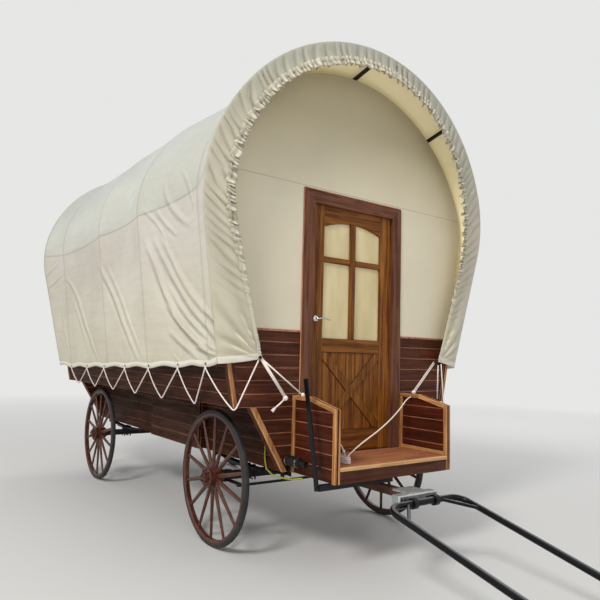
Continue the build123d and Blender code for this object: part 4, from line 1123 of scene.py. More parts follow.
for label, hand in SIDES:
    wall = Timber(101 + hand)
    for z0, z1 in courses(BOX_Z, BOX_TOP, UPPER_COURSES):
        face = [at(INNER_BACK, hand * box_y(z0), z0), at(INNER_FRONT, hand * box_y(z0), z0),
                at(INNER_FRONT, hand * box_y(z1), z1), at(INNER_BACK, hand * box_y(z1), z1)]
        wall.board(face, Vector((0, -hand * SIDE_T, 0)), CHAMFER)
    fasten(wall.done("side_boards_" + label, board_x), "body", "plank", "side_wall_" + label)
    low = Timber(201 + hand)
    for z0, z1 in courses(LOWER_Z, BOX_Z, LOWER_COURSES):
        y0, y1 = sorted((hand * LOWER_HALF, hand * (LOWER_HALF - LOWER_T)))
        low.bar(INNER_BACK, INNER_FRONT, y0, y1, z0, z1, CHAMFER)
    fasten(low.done("lower_boards_" + label, dark_x), "body", "plank", "lower_wall_" + label)
    skirt = Timber(301 + hand)
    for z0, z1 in courses(SKIRT_Z, BOX_Z, LOWER_COURSES):
        y0, y1 = sorted((hand * SKIRT_HALF, hand * (SKIRT_HALF - SKIRT_T)))
        skirt.bar(SKIRT_BACK, SKIRT_FRONT, y0, y1, z0, z1, CHAMFER)
        y0, y1 = sorted((hand * (SKIRT_HALF - SKIRT_T), hand * LOWER_HALF))
        for x0 in (SKIRT_BACK, SKIRT_FRONT - SKIRT_T):
            skirt.bar(x0, x0 + SKIRT_T, y0, y1, z0, z1, CHAMFER)
    fasten(skirt.done("skirt_boards_" + label, dark_x), "body", "plank", "skirt_" + label)
print("wall boards:", 2 * (UPPER_COURSES + LOWER_COURSES + 3 * LOWER_COURSES))

# %% [markdown]
# The end walls have the wagon's outline: narrow between the wheels, where the wall slants out to meet the
# box, and wide and flared above. Each course is cut to that outline. In front the door takes out the
# middle, and at the bottom both walls are notched round the chassis rails.

# %% End walls
NOTCH, NOTCH_TOP = 0.641, 0.70


def facade_half(z, above):
    if above:
        return box_y(z)
    return LOWER_HALF + (z - LOWER_Z) / (BOX_Z - LOWER_Z) * (FACADE_HALF - LOWER_HALF)


def end_wall(name, face_x, outward, gap, seed):
    """gap is half the width that a door leaves open, or zero."""
    wall = Timber(seed)
    depth = Vector((-outward * WALL, 0, 0))
    for z0, z1 in courses(LOWER_Z, BOX_Z, LOWER_COURSES) + courses(BOX_Z, BOX_TOP, UPPER_COURSES):
        above = z0 > BOX_Z
        half0, half1 = facade_half(z0, above), facade_half(z1, above)
        beside_rails = z0 < NOTCH_TOP - 0.02
        open_half = max(gap, NOTCH) if beside_rails else gap
        if open_half:
            for hand in (-1, 1):
                wall.upright(face_x, (hand * open_half, hand * half0, z0),
                             (hand * open_half, hand * half1, z1), depth, CHAMFER)
            if beside_rails and not gap:
                wall.upright(face_x, (-NOTCH, NOTCH, NOTCH_TOP), (-NOTCH, NOTCH, z1), depth, CHAMFER)
        else:
            wall.upright(face_x, (-half0, half0, z0), (-half1, half1, z1), depth, CHAMFER)
    return wall.done(name, board_y)


front_wall = end_wall("front_boards", FRONT, 1, DOOR_HALF, 401)
rear_wall = end_wall("rear_boards", BACK, -1, 0.0, 402)
fasten(front_wall, "body", "plank", "front_wainscot")
fasten(rear_wall, "body", "plank", "rear_wainscot")
print("end wall faces:", len(front_wall.data.polygons), len(rear_wall.data.polygons))

# %% [markdown]
# Strips of pale softwood cover the corners of the box, the slanted edges beside the wheels and the top
# of the boards. They are left clear of stain, and they outline the wagon's front.

# %% Pale strips on the end walls
TRIM, TRIM_T = 0.045, 0.012
ACROSS_GRAIN, UP_GRAIN, RED, REDDISH = 0, 1, 2, 3
LEDGE_Z, LEDGE_T, EDGE_STRIP = 1.700, 0.008, 0.010
FRAME_TOP = 2.862


def end_strips(name, face, out, seed):
    strips = Timber(seed)
    depth = Vector((-out * TRIM_T, 0, 0))
    front = face + out * TRIM_T
    low, top = box_y(BOX_Z), box_y(BOX_TOP)
    for hand in (-1, 1):
        corner = lambda y, z: at(front, hand * y, z)
        for a, b, tone in ((TRIM_T, -0.015, UP_GRAIN), (-0.016, -TRIM, RED)):
            strips.board([corner(low + a, BOX_Z), corner(top + a, BOX_TOP),
                          corner(top + b, BOX_TOP), corner(low + b, BOX_Z)], depth, 0.002, tone)
        strips.board([at(face, hand * (low + TRIM_T), BOX_Z), at(face, hand * (top + TRIM_T), BOX_TOP),
                      at(face - out * TRIM, hand * (top + TRIM_T), BOX_TOP),
                      at(face - out * TRIM, hand * (low + TRIM_T), BOX_Z)],
                     Vector((0, -hand * TRIM_T, 0)), 0.002, RED)
        strips.board([corner(FACADE_HALF, BOX_Z), corner(FACADE_HALF - TRIM, BOX_Z),
                      corner(LOWER_HALF - TRIM, LOWER_Z), corner(LOWER_HALF, LOWER_Z)],
                     depth, 0.003, UP_GRAIN)
    return strips


front_strips = end_strips("front_strips", FRONT, 1, 501)
ledge_half = box_y(LEDGE_Z) - TRIM
for hand in (-1, 1):
    y0, y1 = sorted((hand * DOOR_HALF, hand * ledge_half))
    front_strips.bar(FRONT, FRONT + LEDGE_T, y0, y1, LEDGE_Z, BOX_TOP, 0.002, REDDISH)
    y0, y1 = sorted((hand * DOOR_HALF, hand * (DOOR_HALF + EDGE_STRIP)))
    front_strips.bar(FRONT, FRONT + EDGE_STRIP, y0, y1, DECK_Z, LEDGE_Z, 0.002, UP_GRAIN)
    front_strips.bar(FRONT, FRONT + EDGE_STRIP, y0, y1, LEDGE_Z + 0.002, FRAME_TOP, 0.002, REDDISH)
front_strips.bar(FRONT, FRONT + EDGE_STRIP, -DOOR_HALF, DOOR_HALF, FRAME_TOP - 0.005, FRAME_TOP + 0.004,
                 0.002, REDDISH)
fasten(front_strips.done("front_strips", [trim_y, trim_z, board_y, edge_strip]), "body", "trim_wood",
       "front_trims")
rear_strips = end_strips("rear_strips", BACK, -1, 502)
rear_strips.bar(BACK - LEDGE_T, BACK, -ledge_half, ledge_half, LEDGE_Z, BOX_TOP, 0.002, ACROSS_GRAIN)
fasten(rear_strips.done("rear_strips", [trim_y, trim_z, board_y]), "body", "trim_wood", "rear_trims")
print("faces of the strips:", len(front_strips.faces), "and", len(rear_strips.faces))

# %% [markdown]
# ## The porch
# Two side panels stand on a boarded deck. A panel is a dark core of planks between two frames of pale
# strips, so its edge shows pale, dark, pale. Its top runs level at the back and then falls to the front.

# %% Porch panels
CORE, STRIP_T, STRIP = 0.020, 0.015, 0.032
RAIL_BACK, RAIL_FRONT, RAIL_FLAT = 1.218, 1.150, 0.225
PANEL_Z, PANEL_COURSE = 0.640, 0.0965
CORE_FRONT, CORE_DOWN = PORCH - 0.001, 0.001
DECK_STRIP = 0.030
BEND = FRONT + RAIL_FLAT


def rail_top_at(x):
    if x <= BEND:
        return RAIL_BACK
    return RAIL_BACK + (RAIL_FRONT - RAIL_BACK) * (x - BEND) / (PORCH - BEND)


for label, hand in SIDES:
    panel = Timber(601 + hand)
    outer = hand * PORCH_HALF
    core_out = outer - hand * STRIP_T
    inner = outer - hand * (CORE + 2 * STRIP_T)
    core, strip = Vector((0, -hand * CORE, 0)), Vector((0, -hand * STRIP_T, 0))
    seams = [PANEL_Z + PANEL_COURSE * i for i in range(6)]
    for z0, z1 in zip(seams, seams[1:]):
        panel.board([at(FRONT, core_out, z0), at(CORE_FRONT, core_out, z0),
                     at(CORE_FRONT, core_out, z1 - GROOVE), at(FRONT, core_out, z1 - GROOVE)], core)
    top = seams[-1]
    panel.board([at(FRONT, core_out, top), at(CORE_FRONT, core_out, top),
                 at(CORE_FRONT, core_out, RAIL_FRONT - CORE_DOWN),
                 at(BEND, core_out, RAIL_BACK - CORE_DOWN),
                 at(FRONT, core_out, RAIL_BACK - CORE_DOWN)], core)
    low, top = RAIL_BACK - STRIP, RAIL_BACK
    post_x = PORCH - STRIP
    for y in (outer, inner + hand * STRIP_T):
        panel.board([at(FRONT, y, PANEL_Z), at(FRONT + STRIP, y, PANEL_Z), at(FRONT + STRIP, y, low),
                     at(FRONT, y, low)], strip, 0.002, 2)
        panel.board([at(post_x, y, PANEL_Z), at(PORCH, y, PANEL_Z), at(PORCH, y, RAIL_FRONT),
                     at(post_x, y, rail_top_at(post_x))], strip, 0.002, 2)
        panel.board([at(FRONT, y, low), at(BEND, y, low), at(BEND, y, top), at(FRONT, y, top)],
                    strip, 0.002, 1)
        panel.board([at(BEND, y, low), at(post_x, y, rail_top_at(post_x) - STRIP),
                     at(post_x, y, rail_top_at(post_x)), at(BEND, y, top)], strip, 0.002, 1)
    y = inner + hand * STRIP_T
    low, top = DECK_Z + 0.001, DECK_Z + DECK_STRIP
    panel.board([at(FRONT + STRIP, y, low), at(post_x, y, low), at(post_x, y, top),
                 at(FRONT + STRIP, y, top)], strip, 0.002, 1)
    piece = panel.done("porch_panel_" + label, [porch_x, trim_x, trim_z])
    fasten(piece, "body", "trim_wood", "porch_side_" + label)
    print("faces of the", label, "panel:", len(panel.faces))

# %% [markdown]
# The deck's boards run across the porch between the panels. A paler nosing covers their front edge, a
# little proud of the panels, where feet would otherwise splinter the wood.

# %% The deck and its nosing
DECK_HALF = PORCH_HALF - CORE - 2 * STRIP_T
DECK_T, NOSING = 0.025, 0.030
NOSE = PORCH + 0.012
deck = Timber(701)
edges = np.linspace(FRONT, NOSE - NOSING, 6)
for x0, x1 in zip(edges, edges[1:]):
    deck.board([at(x0, -DECK_HALF, DECK_Z), at(x1 - GROOVE, -DECK_HALF, DECK_Z),
                at(x1 - GROOVE, DECK_HALF, DECK_Z), at(x0, DECK_HALF, DECK_Z)],
               Vector((0, 0, -DECK_T)), 0.0015)
deck.bar(NOSE - NOSING, NOSE, -DECK_HALF, DECK_HALF, DECK_Z - DECK_T, DECK_Z, 0.004, 1)
fasten(deck.done("deck_planks", [deck_y, trim_y]), "body", "plank", "porch_deck")
print("deck boards:", len(edges) - 1)

# %% [markdown]
# ## The door
# The leaf is joinery: two stiles, three rails, a cross of glazing bars in the upper half, and below it
# upright boards behind two braces that cross. Each part is its own board with its grain along its
# length, as a joiner would cut it. The top rail's lower edge is a flat arch.

# %% The leaf
LEAF_IN, LEAF_OUT = INNER_FRONT, INNER_FRONT + 0.042
LEAF_HALF = 0.447
LEAF_Z0, LEAF_Z1 = 0.755, 2.765
STILE = 0.134
LIGHT_HALF = LEAF_HALF - STILE
MUNTIN_V, MUNTIN_H = 0.060, 0.046
LIGHT_Z, CROSS_Z, LIGHT_SIDE, LIGHT_RISE = 1.666, 2.310, 2.580, 0.060
PANEL_LOW, PANEL_HIGH, PANEL_DEEP = 0.930, 1.554, 0.010
ARCH_R = (LIGHT_HALF ** 2 + LIGHT_RISE ** 2) / (2 * LIGHT_RISE)


def arch_z(y):
    """The height of the lights' arched top."""
    return LIGHT_SIDE + LIGHT_RISE - ARCH_R + math.sqrt(ARCH_R ** 2 - y ** 2)


leaf = Timber(801)
UPRIGHT, ACROSS = 0, 1
leaf.bar(LEAF_IN, LEAF_OUT, -LEAF_HALF, -LIGHT_HALF, LEAF_Z0, LEAF_Z1, 0.002, UPRIGHT)
leaf.bar(LEAF_IN, LEAF_OUT, LIGHT_HALF, LEAF_HALF, LEAF_Z0, LEAF_Z1, 0.002, UPRIGHT)
back = Vector((LEAF_IN - LEAF_OUT, 0, 0))
for z0, z1 in ((LEAF_Z0, PANEL_LOW), (PANEL_HIGH, LIGHT_Z)):
    leaf.upright(LEAF_OUT, (-LIGHT_HALF, LIGHT_HALF, z0), (-LIGHT_HALF, LIGHT_HALF, z1), back, 0.002,
                 ACROSS)
arc = [at(LEAF_OUT, y, arch_z(y)) for y in np.linspace(-LIGHT_HALF, LIGHT_HALF, 17)]
arc += [at(LEAF_OUT, LIGHT_HALF, LEAF_Z1), at(LEAF_OUT, -LIGHT_HALF, LEAF_Z1)]
leaf.board(arc, back, 0.002, ACROSS)
half = MUNTIN_V / 2
leaf.upright(LEAF_OUT, (-half, half, LIGHT_Z), (-half, half, arch_z(half)), back, 0.003, UPRIGHT)
for hand in (-1, 1):
    y0, y1 = sorted((hand * MUNTIN_V / 2, hand * LIGHT_HALF))
    leaf.upright(LEAF_OUT, (y0, y1, CROSS_Z - MUNTIN_H / 2), (y0, y1, CROSS_Z + MUNTIN_H / 2), back, 0.003,
                 ACROSS)
print("frame of the leaf:", len(leaf.faces), "faces")

# %% [markdown]
# Below the lights, thin upright boards stand in the frame behind two braces that cross. The second brace
# is set back by a fraction of a millimetre, so that the two faces don't lie in each other at the crossing.

# %% The leaf's boards and braces
BRACE = 0.075
slats = np.linspace(-LIGHT_HALF, LIGHT_HALF, 8)
for y0, y1 in zip(slats, slats[1:]):
    leaf.bar(LEAF_IN + PANEL_DEEP, LEAF_OUT - PANEL_DEEP, y0, y1 - GROOVE, PANEL_LOW, PANEL_HIGH, 0.0018,
             UPRIGHT)
slope = math.atan2(PANEL_HIGH - PANEL_LOW, 2 * LIGHT_HALF)
cut_y, cut_z = BRACE / 2 / math.sin(slope), BRACE / 2 / math.cos(slope)
for hand, lift in ((-1, 0.0), (1, 0.0004)):
    corner = lambda y, z: at(LEAF_OUT - lift, hand * y, z)
    h = LIGHT_HALF
    leaf.board([corner(-h, PANEL_LOW), corner(-h + cut_y, PANEL_LOW), corner(h, PANEL_HIGH - cut_z),
                corner(h, PANEL_HIGH), corner(h - cut_y, PANEL_HIGH), corner(-h, PANEL_LOW + cut_z)],
               Vector((-PANEL_DEEP + lift, 0, 0)), 0.0045, UPRIGHT)
leaf_piece = leaf.done("door_joinery", [door_z, door_y])
fasten(leaf_piece, "door", "door_wood", "door_leaf")
print("leaf boards:", len(slats) - 1)

# %% [markdown]
# The leaf turns on three knuckle hinges, and a sprung lever on a round rose opens it. The lever is a bent
# steel rod that thins towards its end.

# %% Hinge knuckles and lever
HINGE_X, HINGE_Y = INNER_FRONT - 0.008, DOOR_HALF - 0.086 - 0.0025
KNUCKLE_HALF, PIN_R = 0.0198, 0.008
HANDLE_Y, HANDLE_Z = -0.390, 1.818
ROSE = ((0.0, 0.030), (0.005, 0.030), (0.011, 0.027), (0.016, 0.020), (0.019, 0.009))
NECK = ((0.004, 0.0), (0.026, 0.0), (0.034, 0.004), (0.038, 0.014))
LEVER = 0.108


def lever_path(face, out):
    """The lever's line: straight out of the rose, round a bend and along the door in a slight wave."""
    path = [at(face + out * reach, HANDLE_Y + along, HANDLE_Z) for reach, along in NECK]
    reach, along = NECK[-1]
    for t in np.linspace(0.15, 1, 8):
        wave = 0.009 * math.sin(3.0 * t) - 0.008 * t
        path.append(at(face + out * reach, HANDLE_Y + along + LEVER * t, HANDLE_Z + wave))
    return path


parts = []
for z in (1.000, 1.760, 2.520):
    ends = [at(HINGE_X, HINGE_Y, z - KNUCKLE_HALF), at(HINGE_X, HINGE_Y, z + KNUCKLE_HALF)]
    parts.append(tube(ends, PIN_R, 16))
round_piece("hinge_knuckles", parts, bright_steel, "door", "chrome")
parts = []
for face, out in ((LEAF_OUT, 1), (LEAF_IN, -1)):
    rose = [(face + out * distance, radius) for distance, radius in ROSE]
    parts.append(turned(rose, lambda x: at(x, HANDLE_Y, HANDLE_Z), 24))
    parts.append(tube(lever_path(face, out), lambda t: 0.0078 - 0.0030 * t, 14))
parts.append(tube([at(LEAF_IN, HANDLE_Y, HANDLE_Z), at(LEAF_OUT, HANDLE_Y, HANDLE_Z)], 0.008, 12))
handle = round_piece("lever_handle", parts, bright_steel, "door", "chrome", "door_handle", smooth=True)
print("handle faces:", len(handle.data.polygons))

# %% [markdown]
# ## Wheels
# A wooden wheel is a hub, an even number of spokes and a bent or sawn rim, the felloe. The spokes
# repeat round the hub, which is a job for Geometry Nodes: one tapered spoke is made from a line, instanced
# by a turning angle, then made real. The bolts on the hub's flange use a second tree, which puts a
# hexagon head on every point of its source and is used again for all the other bolts and eyelets.

# %% Geometry trees: spokes and heads
def new_tree(name, inputs):
    tree = bpy.data.node_groups.new(name, "GeometryNodeTree")
    tree.interface.new_socket("Geometry", in_out="INPUT", socket_type="NodeSocketGeometry")
    for label, kind in inputs:
        tree.interface.new_socket(label, in_out="INPUT", socket_type="NodeSocket" + kind)
    tree.interface.new_socket("Geometry", in_out="OUTPUT", socket_type="NodeSocketGeometry")
    return tree, tree.nodes.new("NodeGroupInput").outputs, tree.nodes.new("NodeGroupOutput").inputs


def finish_tree(tree, geometry, material, out):
    real = put(tree, "GeometryNodeRealizeInstances", {0: geometry}).outputs[0]
    done = put(tree, "GeometryNodeSetMaterial", {"Geometry": real, "Material": material})
    tree.links.new(done.outputs[0], out["Geometry"])


def grown(name, tree, values, source=None):
    """Runs a tree once on a source mesh and keeps the result as a plain mesh."""
    piece = bpy.data.objects.new(name, source or bpy.data.meshes.new(name))
    scene.collection.objects.link(piece)
    modifier = piece.modifiers.new(tree.name, "NODES")
    modifier.node_group = tree
    for item in tree.interface.items_tree:
        if item.item_type == "SOCKET" and item.in_out == "INPUT" and item.name in values:
            modifier[item.identifier] = values[item.name]
    graph = bpy.context.evaluated_depsgraph_get()
    mesh = bpy.data.meshes.new_from_object(piece.evaluated_get(graph), depsgraph=graph)
    piece.modifiers.clear()
    piece.data = mesh
    mesh.name = name
    return piece


spoke_tree, sin_, sout = new_tree("spokes", [
    ("Count", "Int"), ("Hub radius", "Float"), ("Rim radius", "Float"), ("Root width", "Float"),
    ("Tip width", "Float"), ("Thickness", "Float"), ("Wood", "Material")])
start = put(spoke_tree, "ShaderNodeCombineXYZ", {2: sin_["Hub radius"]}).outputs[0]
end = put(spoke_tree, "ShaderNodeCombineXYZ", {2: sin_["Rim radius"]}).outputs[0]
line = put(spoke_tree, "GeometryNodeCurvePrimitiveLine", {"Start": start, "End": end}).outputs[0]
line = put(spoke_tree, "GeometryNodeResampleCurve", {"Curve": line, "Count": 7}).outputs[0]
along = put(spoke_tree, "GeometryNodeSplineParameter").outputs["Factor"]
taper = ramp_of(spoke_tree, along, 0.0, 1.0, sin_["Root width"], sin_["Tip width"])
ring = put(spoke_tree, "GeometryNodeCurvePrimitiveCircle", {"Resolution": 12, "Radius": 0.5}).outputs[0]
flat = math_of(spoke_tree, "DIVIDE", sin_["Thickness"], sin_["Root width"])
squeeze = put(spoke_tree, "ShaderNodeCombineXYZ", {0: 1.0, 1: flat, 2: 1.0}).outputs[0]
ring = put(spoke_tree, "GeometryNodeTransform", {"Geometry": ring, "Scale": squeeze}).outputs[0]
spoke = put(spoke_tree, "GeometryNodeCurveToMesh",
            {"Curve": line, "Profile Curve": ring, "Fill Caps": True, "Scale": taper}).outputs[0]
centres = put(spoke_tree, "GeometryNodePoints", {"Count": sin_["Count"]}).outputs[0]
number = put(spoke_tree, "GeometryNodeInputIndex").outputs[0]
turn = math_of(spoke_tree, "DIVIDE", times(spoke_tree, number, 2 * math.pi), sin_["Count"])
spin = put(spoke_tree, "FunctionNodeAxisAngleToRotation", {"Axis": (0, 1, 0), "Angle": turn}).outputs[0]
spokes = put(spoke_tree, "GeometryNodeInstanceOnPoints",
             {"Points": centres, "Instance": spoke, "Rotation": spin}).outputs[0]
finish_tree(spoke_tree, spokes, sin_["Wood"], sout)

head_tree, hin, hout = new_tree("heads on points", [
    ("Sides", "Int"), ("Radius", "Float"), ("Height", "Float"), ("Steel", "Material")])
head = put(head_tree, "GeometryNodeMeshCylinder",
           {"Vertices": hin["Sides"], "Radius": hin["Radius"], "Depth": hin["Height"]}).outputs[0]
facing = put(head_tree, "GeometryNodeInputNamedAttribute", {"Name": "facing"},
             data_type="FLOAT_VECTOR").outputs[0]
lean = put(head_tree, "FunctionNodeAlignRotationToVector", {"Vector": facing}, axis="Z").outputs[0]
heads = put(head_tree, "GeometryNodeInstanceOnPoints",
            {"Points": hin["Geometry"], "Instance": head, "Rotation": lean}).outputs[0]
finish_tree(head_tree, heads, hin["Steel"], hout)


def heads_at(name, places, directions, radius, height, finish, sides=6):
    """Bolt heads, screws or eyelets at places in the shared frame."""
    source = bpy.data.meshes.new(name)
    source.from_pydata([tuple(p) for p in places], [], [])
    source.attributes.new("facing", "FLOAT_VECTOR", "POINT").data.foreach_set(
        "vector", [c for d in directions for c in d])
    values = {"Sides": sides, "Radius": radius, "Height": height, "Steel": finish}
    return grown(name, head_tree, values, source)


print("trees:", spoke_tree.name, "and", head_tree.name)

# %% [markdown]
# The felloe is seven bent pieces with a hair's breadth between them. The hub is turned: a barrel, a bolted
# flange on the outer face and a cap. The tyre is a rubber band with rounded edges.

# %% The four wheels
WHEEL_W, TYRE_T, FELLOE_T = 0.045, 0.035, 0.021
WHEEL_R = 0.5335
FELLOE_R = WHEEL_R - TYRE_T - 0.0003
HUB_R, HUB_IN, HUB_OUT, BORE = 0.062, 0.070, 0.052, 0.026
FELLOES, FELLOE_GAP = 7, 0.0012
SPOKES = 14
PLATE_R, PLATE_T, CAP_R, CAP_HIGH = 0.082, 0.014, 0.042, 0.030
BOLT_RINGS = ((0.062, 8, 0.003), (0.026, 5, 0.032))


def arc_block(profile, centre, start, stop, steps):
    """A closed profile turned through a part of a circle, with both ends closed."""
    count = len(profile)
    points, faces = [], []
    for i in range(steps + 1):
        a = start + (stop - start) * i / steps
        points += [centre + Vector((r * math.sin(a), y, r * math.cos(a))) for r, y in profile]
    for i in range(steps):
        for k in range(count):
            m = (k + 1) % count
            faces.append([i * count + k, i * count + m, (i + 1) * count + m, (i + 1) * count + k])
    faces.append(list(range(count)))
    faces.append([steps * count + k for k in reversed(range(count))])
    return points, faces


def wooden_parts(centre, hand):
    """The felloes and the turned barrel of one wheel."""
    half = WHEEL_W / 2
    inner = FELLOE_R - FELLOE_T
    felloe = [(inner, -half + 0.007), (inner + 0.007, -half), (FELLOE_R, -half), (FELLOE_R, half),
              (inner + 0.007, half), (inner, half - 0.007)]
    parts = []
    for i in range(FELLOES):
        start = 2 * math.pi * (i + 0.25) / FELLOES
        stop = start + 2 * math.pi / FELLOES - FELLOE_GAP / FELLOE_R
        parts.append(arc_block(felloe, centre, start, stop, 14))
    barrel = [(BORE, hand * -HUB_IN), (HUB_R - 0.006, hand * -HUB_IN), (HUB_R, hand * (-HUB_IN + 0.006)),
              (HUB_R + 0.004, 0.0), (HUB_R, hand * HUB_OUT), (BORE, hand * HUB_OUT)]
    return parts + [lathe(barrel, centre, 64)]


def hub_plate(centre, hand, face):
    """The flange on the hub's outer face and the cap in its middle."""
    profile = [(0.0, hand * HUB_OUT), (PLATE_R, hand * HUB_OUT), (PLATE_R, face - hand * 0.003),
               (PLATE_R - 0.003, face), (CAP_R, face), (CAP_R - 0.002, face + hand * (CAP_HIGH - 0.004)),
               (CAP_R - 0.006, face + hand * CAP_HIGH), (0.0, face + hand * CAP_HIGH)]
    return lathe(profile, centre, 48)


def tyre_band(centre):
    """The rubber's section: flat on the felloe, rounded shoulders and a slightly crowned tread."""
    seat = WHEEL_R - TYRE_T
    one_side = [(seat, 0.0225), (seat + 0.012, 0.0222), (seat + 0.024, 0.0205), (seat + 0.031, 0.0175),
                (WHEEL_R - 0.0008, 0.011)]
    section = [(r, -y) for r, y in one_side] + [(WHEEL_R, 0.0)] + one_side[::-1]
    return lathe(section, centre, 120)


wheels = {"rear_wheel_right": (0.0, -1), "rear_wheel_left": (0.0, 1),
          "front_wheel_right": (WHEELBASE, -1), "front_wheel_left": (WHEELBASE, 1)}
spoke_sizes = {"Count": SPOKES, "Hub radius": HUB_R - 0.010, "Rim radius": FELLOE_R - FELLOE_T + 0.004,
               "Root width": 0.040, "Tip width": 0.028, "Thickness": 0.028, "Wood": wheel_wood}
for body, (wheel_x, hand) in wheels.items():
    centre = at(wheel_x, hand * WHEEL_Y, AXLE_Z)
    wood = round_piece(body + "_wood", wooden_parts(centre, hand), wheel_wood, body, "wheel_paint", body)
    spokes = grown(body + "_spokes", spoke_tree, spoke_sizes)
    spokes.data.transform(Matrix.Translation(centre))
    fasten(spokes, body, "wheel_paint")
    face = hand * (HUB_OUT + PLATE_T)
    round_piece(body + "_hub_plate", [hub_plate(centre, hand, face)], wheel_wood, body, "wheel_paint")
    places = []
    for ring, count, proud in BOLT_RINGS:
        for i in range(count):
            turn = 2 * math.pi * i / count
            out = face + hand * proud
            places.append(centre + Vector((ring * math.sin(turn), out, ring * math.cos(turn))))
    bolts = heads_at(body + "_bolts", places, [(0, hand, 0)] * len(places), 0.0075, 0.008, black_steel)
    fasten(bolts, body, "wheel_paint")
    round_piece(body + "_tyre", [tyre_band(centre)], rubber, body, "tyre", body.replace("wheel", "tyre"),
                smooth=True)
print("wheel faces:", len(wood.data.polygons), "spokes:", len(spokes.data.polygons))

# %% [markdown]
# ## Ropes
# White rope laces the cover down. From an eyelet in the hem it runs forward and down to a hook under the
# box, then steeply up to the next eyelet. At the front corners a doubled rope is hauled to the porch and
# knotted. These ropes are all taut, so each is a plain tube along its line.

# %% Lacing along both sides
LACE_R = 0.0055
HOOKS = [-0.934, -0.307, 0.338, 0.960, 1.605, 2.252, 2.909, 3.535]
HOOK_HALF, HOOK_Z = BOX_HALF + 0.012, BOX_Z - 0.024
LAST_END = (3.618, 0.985, 1.478)
EYE_OUT, EYE_UP, HEM_OUT, HEM_DOWN, SLACK = 0.008, 0.022, 0.010, 0.006, 0.022


def side_rope(points, hand):
    """A rope beside the wagon, given for its left side and turned over for its right."""
    return tube([at(x, hand * y, z) for x, y, z in points], LACE_R)


def hem_at(x):
    """How far out and how high the hem is at a distance along the wagon."""
    row = int(np.argmin(np.abs(grid[:, 0, 0] - REAR_AXLE - x)))
    return -grid[row, 0, 1], grid[row, 0, 2]


def rounded(path, reach):
    """The path with each inner corner replaced by a short curve."""
    path = [Vector(p) for p in path]
    smooth = path[:1]
    for before, corner, after in zip(path, path[1:], path[2:]):
        a = corner + (before - corner).normalized() * min(reach, (before - corner).length / 2)
        b = corner + (after - corner).normalized() * min(reach, (after - corner).length / 2)
        smooth += [a.lerp(corner, t).lerp(corner.lerp(b, t), t) for t in (0, 0.25, 0.5, 0.75, 1)]
    return smooth + path[-1:]


eyelets, facings = [], []
for label, hand in SIDES:
    parts = []
    for tie_x, hook, following in zip(ties, HOOKS[1:], ties[1:] + [None]):
        y, z = hem_at(tie_x)
        eye = (tie_x, y + EYE_OUT, z + EYE_UP)
        eyelets.append(at(eye[0], hand * eye[1], eye[2]))
        facings.append((0, hand, 0.13))
        low = Vector((hook, HOOK_HALF, HOOK_Z))
        start = Vector((tie_x, y + HEM_OUT, z - HEM_DOWN))
        sag = Vector((0, 0, -SLACK))
        down = [start.lerp(low, t) + sag * math.sin(math.pi * t) for t in np.linspace(0, 0.85, 8)]
        if following is None:
            low.y -= 0.004
            up = [LAST_END]
        else:
            y, z = hem_at(following)
            up = [(following, y + HEM_OUT, z - HEM_DOWN), (following, y + EYE_OUT, z + EYE_UP)]
        parts.append(side_rope(rounded([eye] + down + [low] + up, 0.045), hand))
    y, z = hem_at(ties[0])
    tail = [(ties[0], y + HEM_OUT, z - 0.004), (HOOKS[1] - 0.05, HOOK_HALF, BOX_Z - 0.01)]
    parts.append(side_rope(tail, hand))
    round_piece("lacing_" + label, parts, white_rope, "body", "rope", smooth=True)
for corner_y in (-0.975, 0.900):
    eyelets.append(at(3.622, corner_y, 1.498))
    facings.append((1, 0, 0))
rings = heads_at("hem_eyelets", eyelets, facings, 0.013, 0.006, black_steel, 16)
fasten(rings, "body", "steel_frame")
print("eyelets:", len(eyelets))

# %% [markdown]
# A knot is three small rings of rope that cross, which from a step away reads as a hard lump of turns.
# Both corner ropes are doubled. The near one ends in a loose tail, the far one is wound on the rail.

# %% The taut ropes at the front corners
CORNER_R, THIN_R = 0.008, 0.006


def knot(centre, size):
    """A lump of rope turns: three small rings that cross."""
    parts = []
    for axis in range(3):
        ring = []
        for i in range(13):
            a = 2 * math.pi * i / 12
            p = [math.cos(a) * size, math.sin(a) * size]
            p.insert(axis, 0.0)
            ring.append(Vector(centre) + Vector(p))
        parts.append(tube(ring, size * 0.62, 8))
    return parts


corner_x = 3.600
rope_x = corner_x + 0.012
parts = []
near = at(rope_x, -0.970, 1.500)
tied = at(corner_x + 0.006, -0.732, 1.204)
for shift in (-0.006, 0.006):
    step = Vector((0.0, shift, 0.004))
    parts.append(tube([near + step, tied + step], CORNER_R))
parts += knot(tied, 0.013)
parts.append(tube([tied, at(corner_x + 0.01, -0.775, 1.170), at(rope_x, -0.827, 1.134)], 0.0065))
tail = [at(rope_x, -0.822, 1.138), at(rope_x, -0.840, 1.122), at(rope_x, -0.850, 1.112)]
parts.append(tube(tail, lambda t: 0.008 + 0.006 * t, 10))
parts.append(tube([near, at(3.640, -0.600, 1.226)], THIN_R))
parts += knot(at(3.640, -0.598, 1.228), 0.010)
far = at(rope_x, 0.905, 1.500)
wound = at(3.650, 0.590, 1.232)
for shift in (-0.011, 0.011):
    parts.append(tube([far + Vector((0, shift, 0)), wound + Vector((0, shift, 0))], 0.0045))
parts += knot(wound, 0.012)
parts.append(tube([at(rope_x, 0.950, 1.470), at(3.560, 1.000, 1.160)], THIN_R))
corner_ropes = round_piece("corner_ropes", parts, white_rope, "body", "rope", smooth=True)
print("corner ropes:", len(corner_ropes.data.polygons))

# %% [markdown]
# One rope hangs free: from the far porch rail it sags across the doorway to a small hank on the deck. Its
# whole length is one curve, so that it stays one cord wherever the wagon goes. The hank's turns are
# more points of the same line, laid on and beside each other.

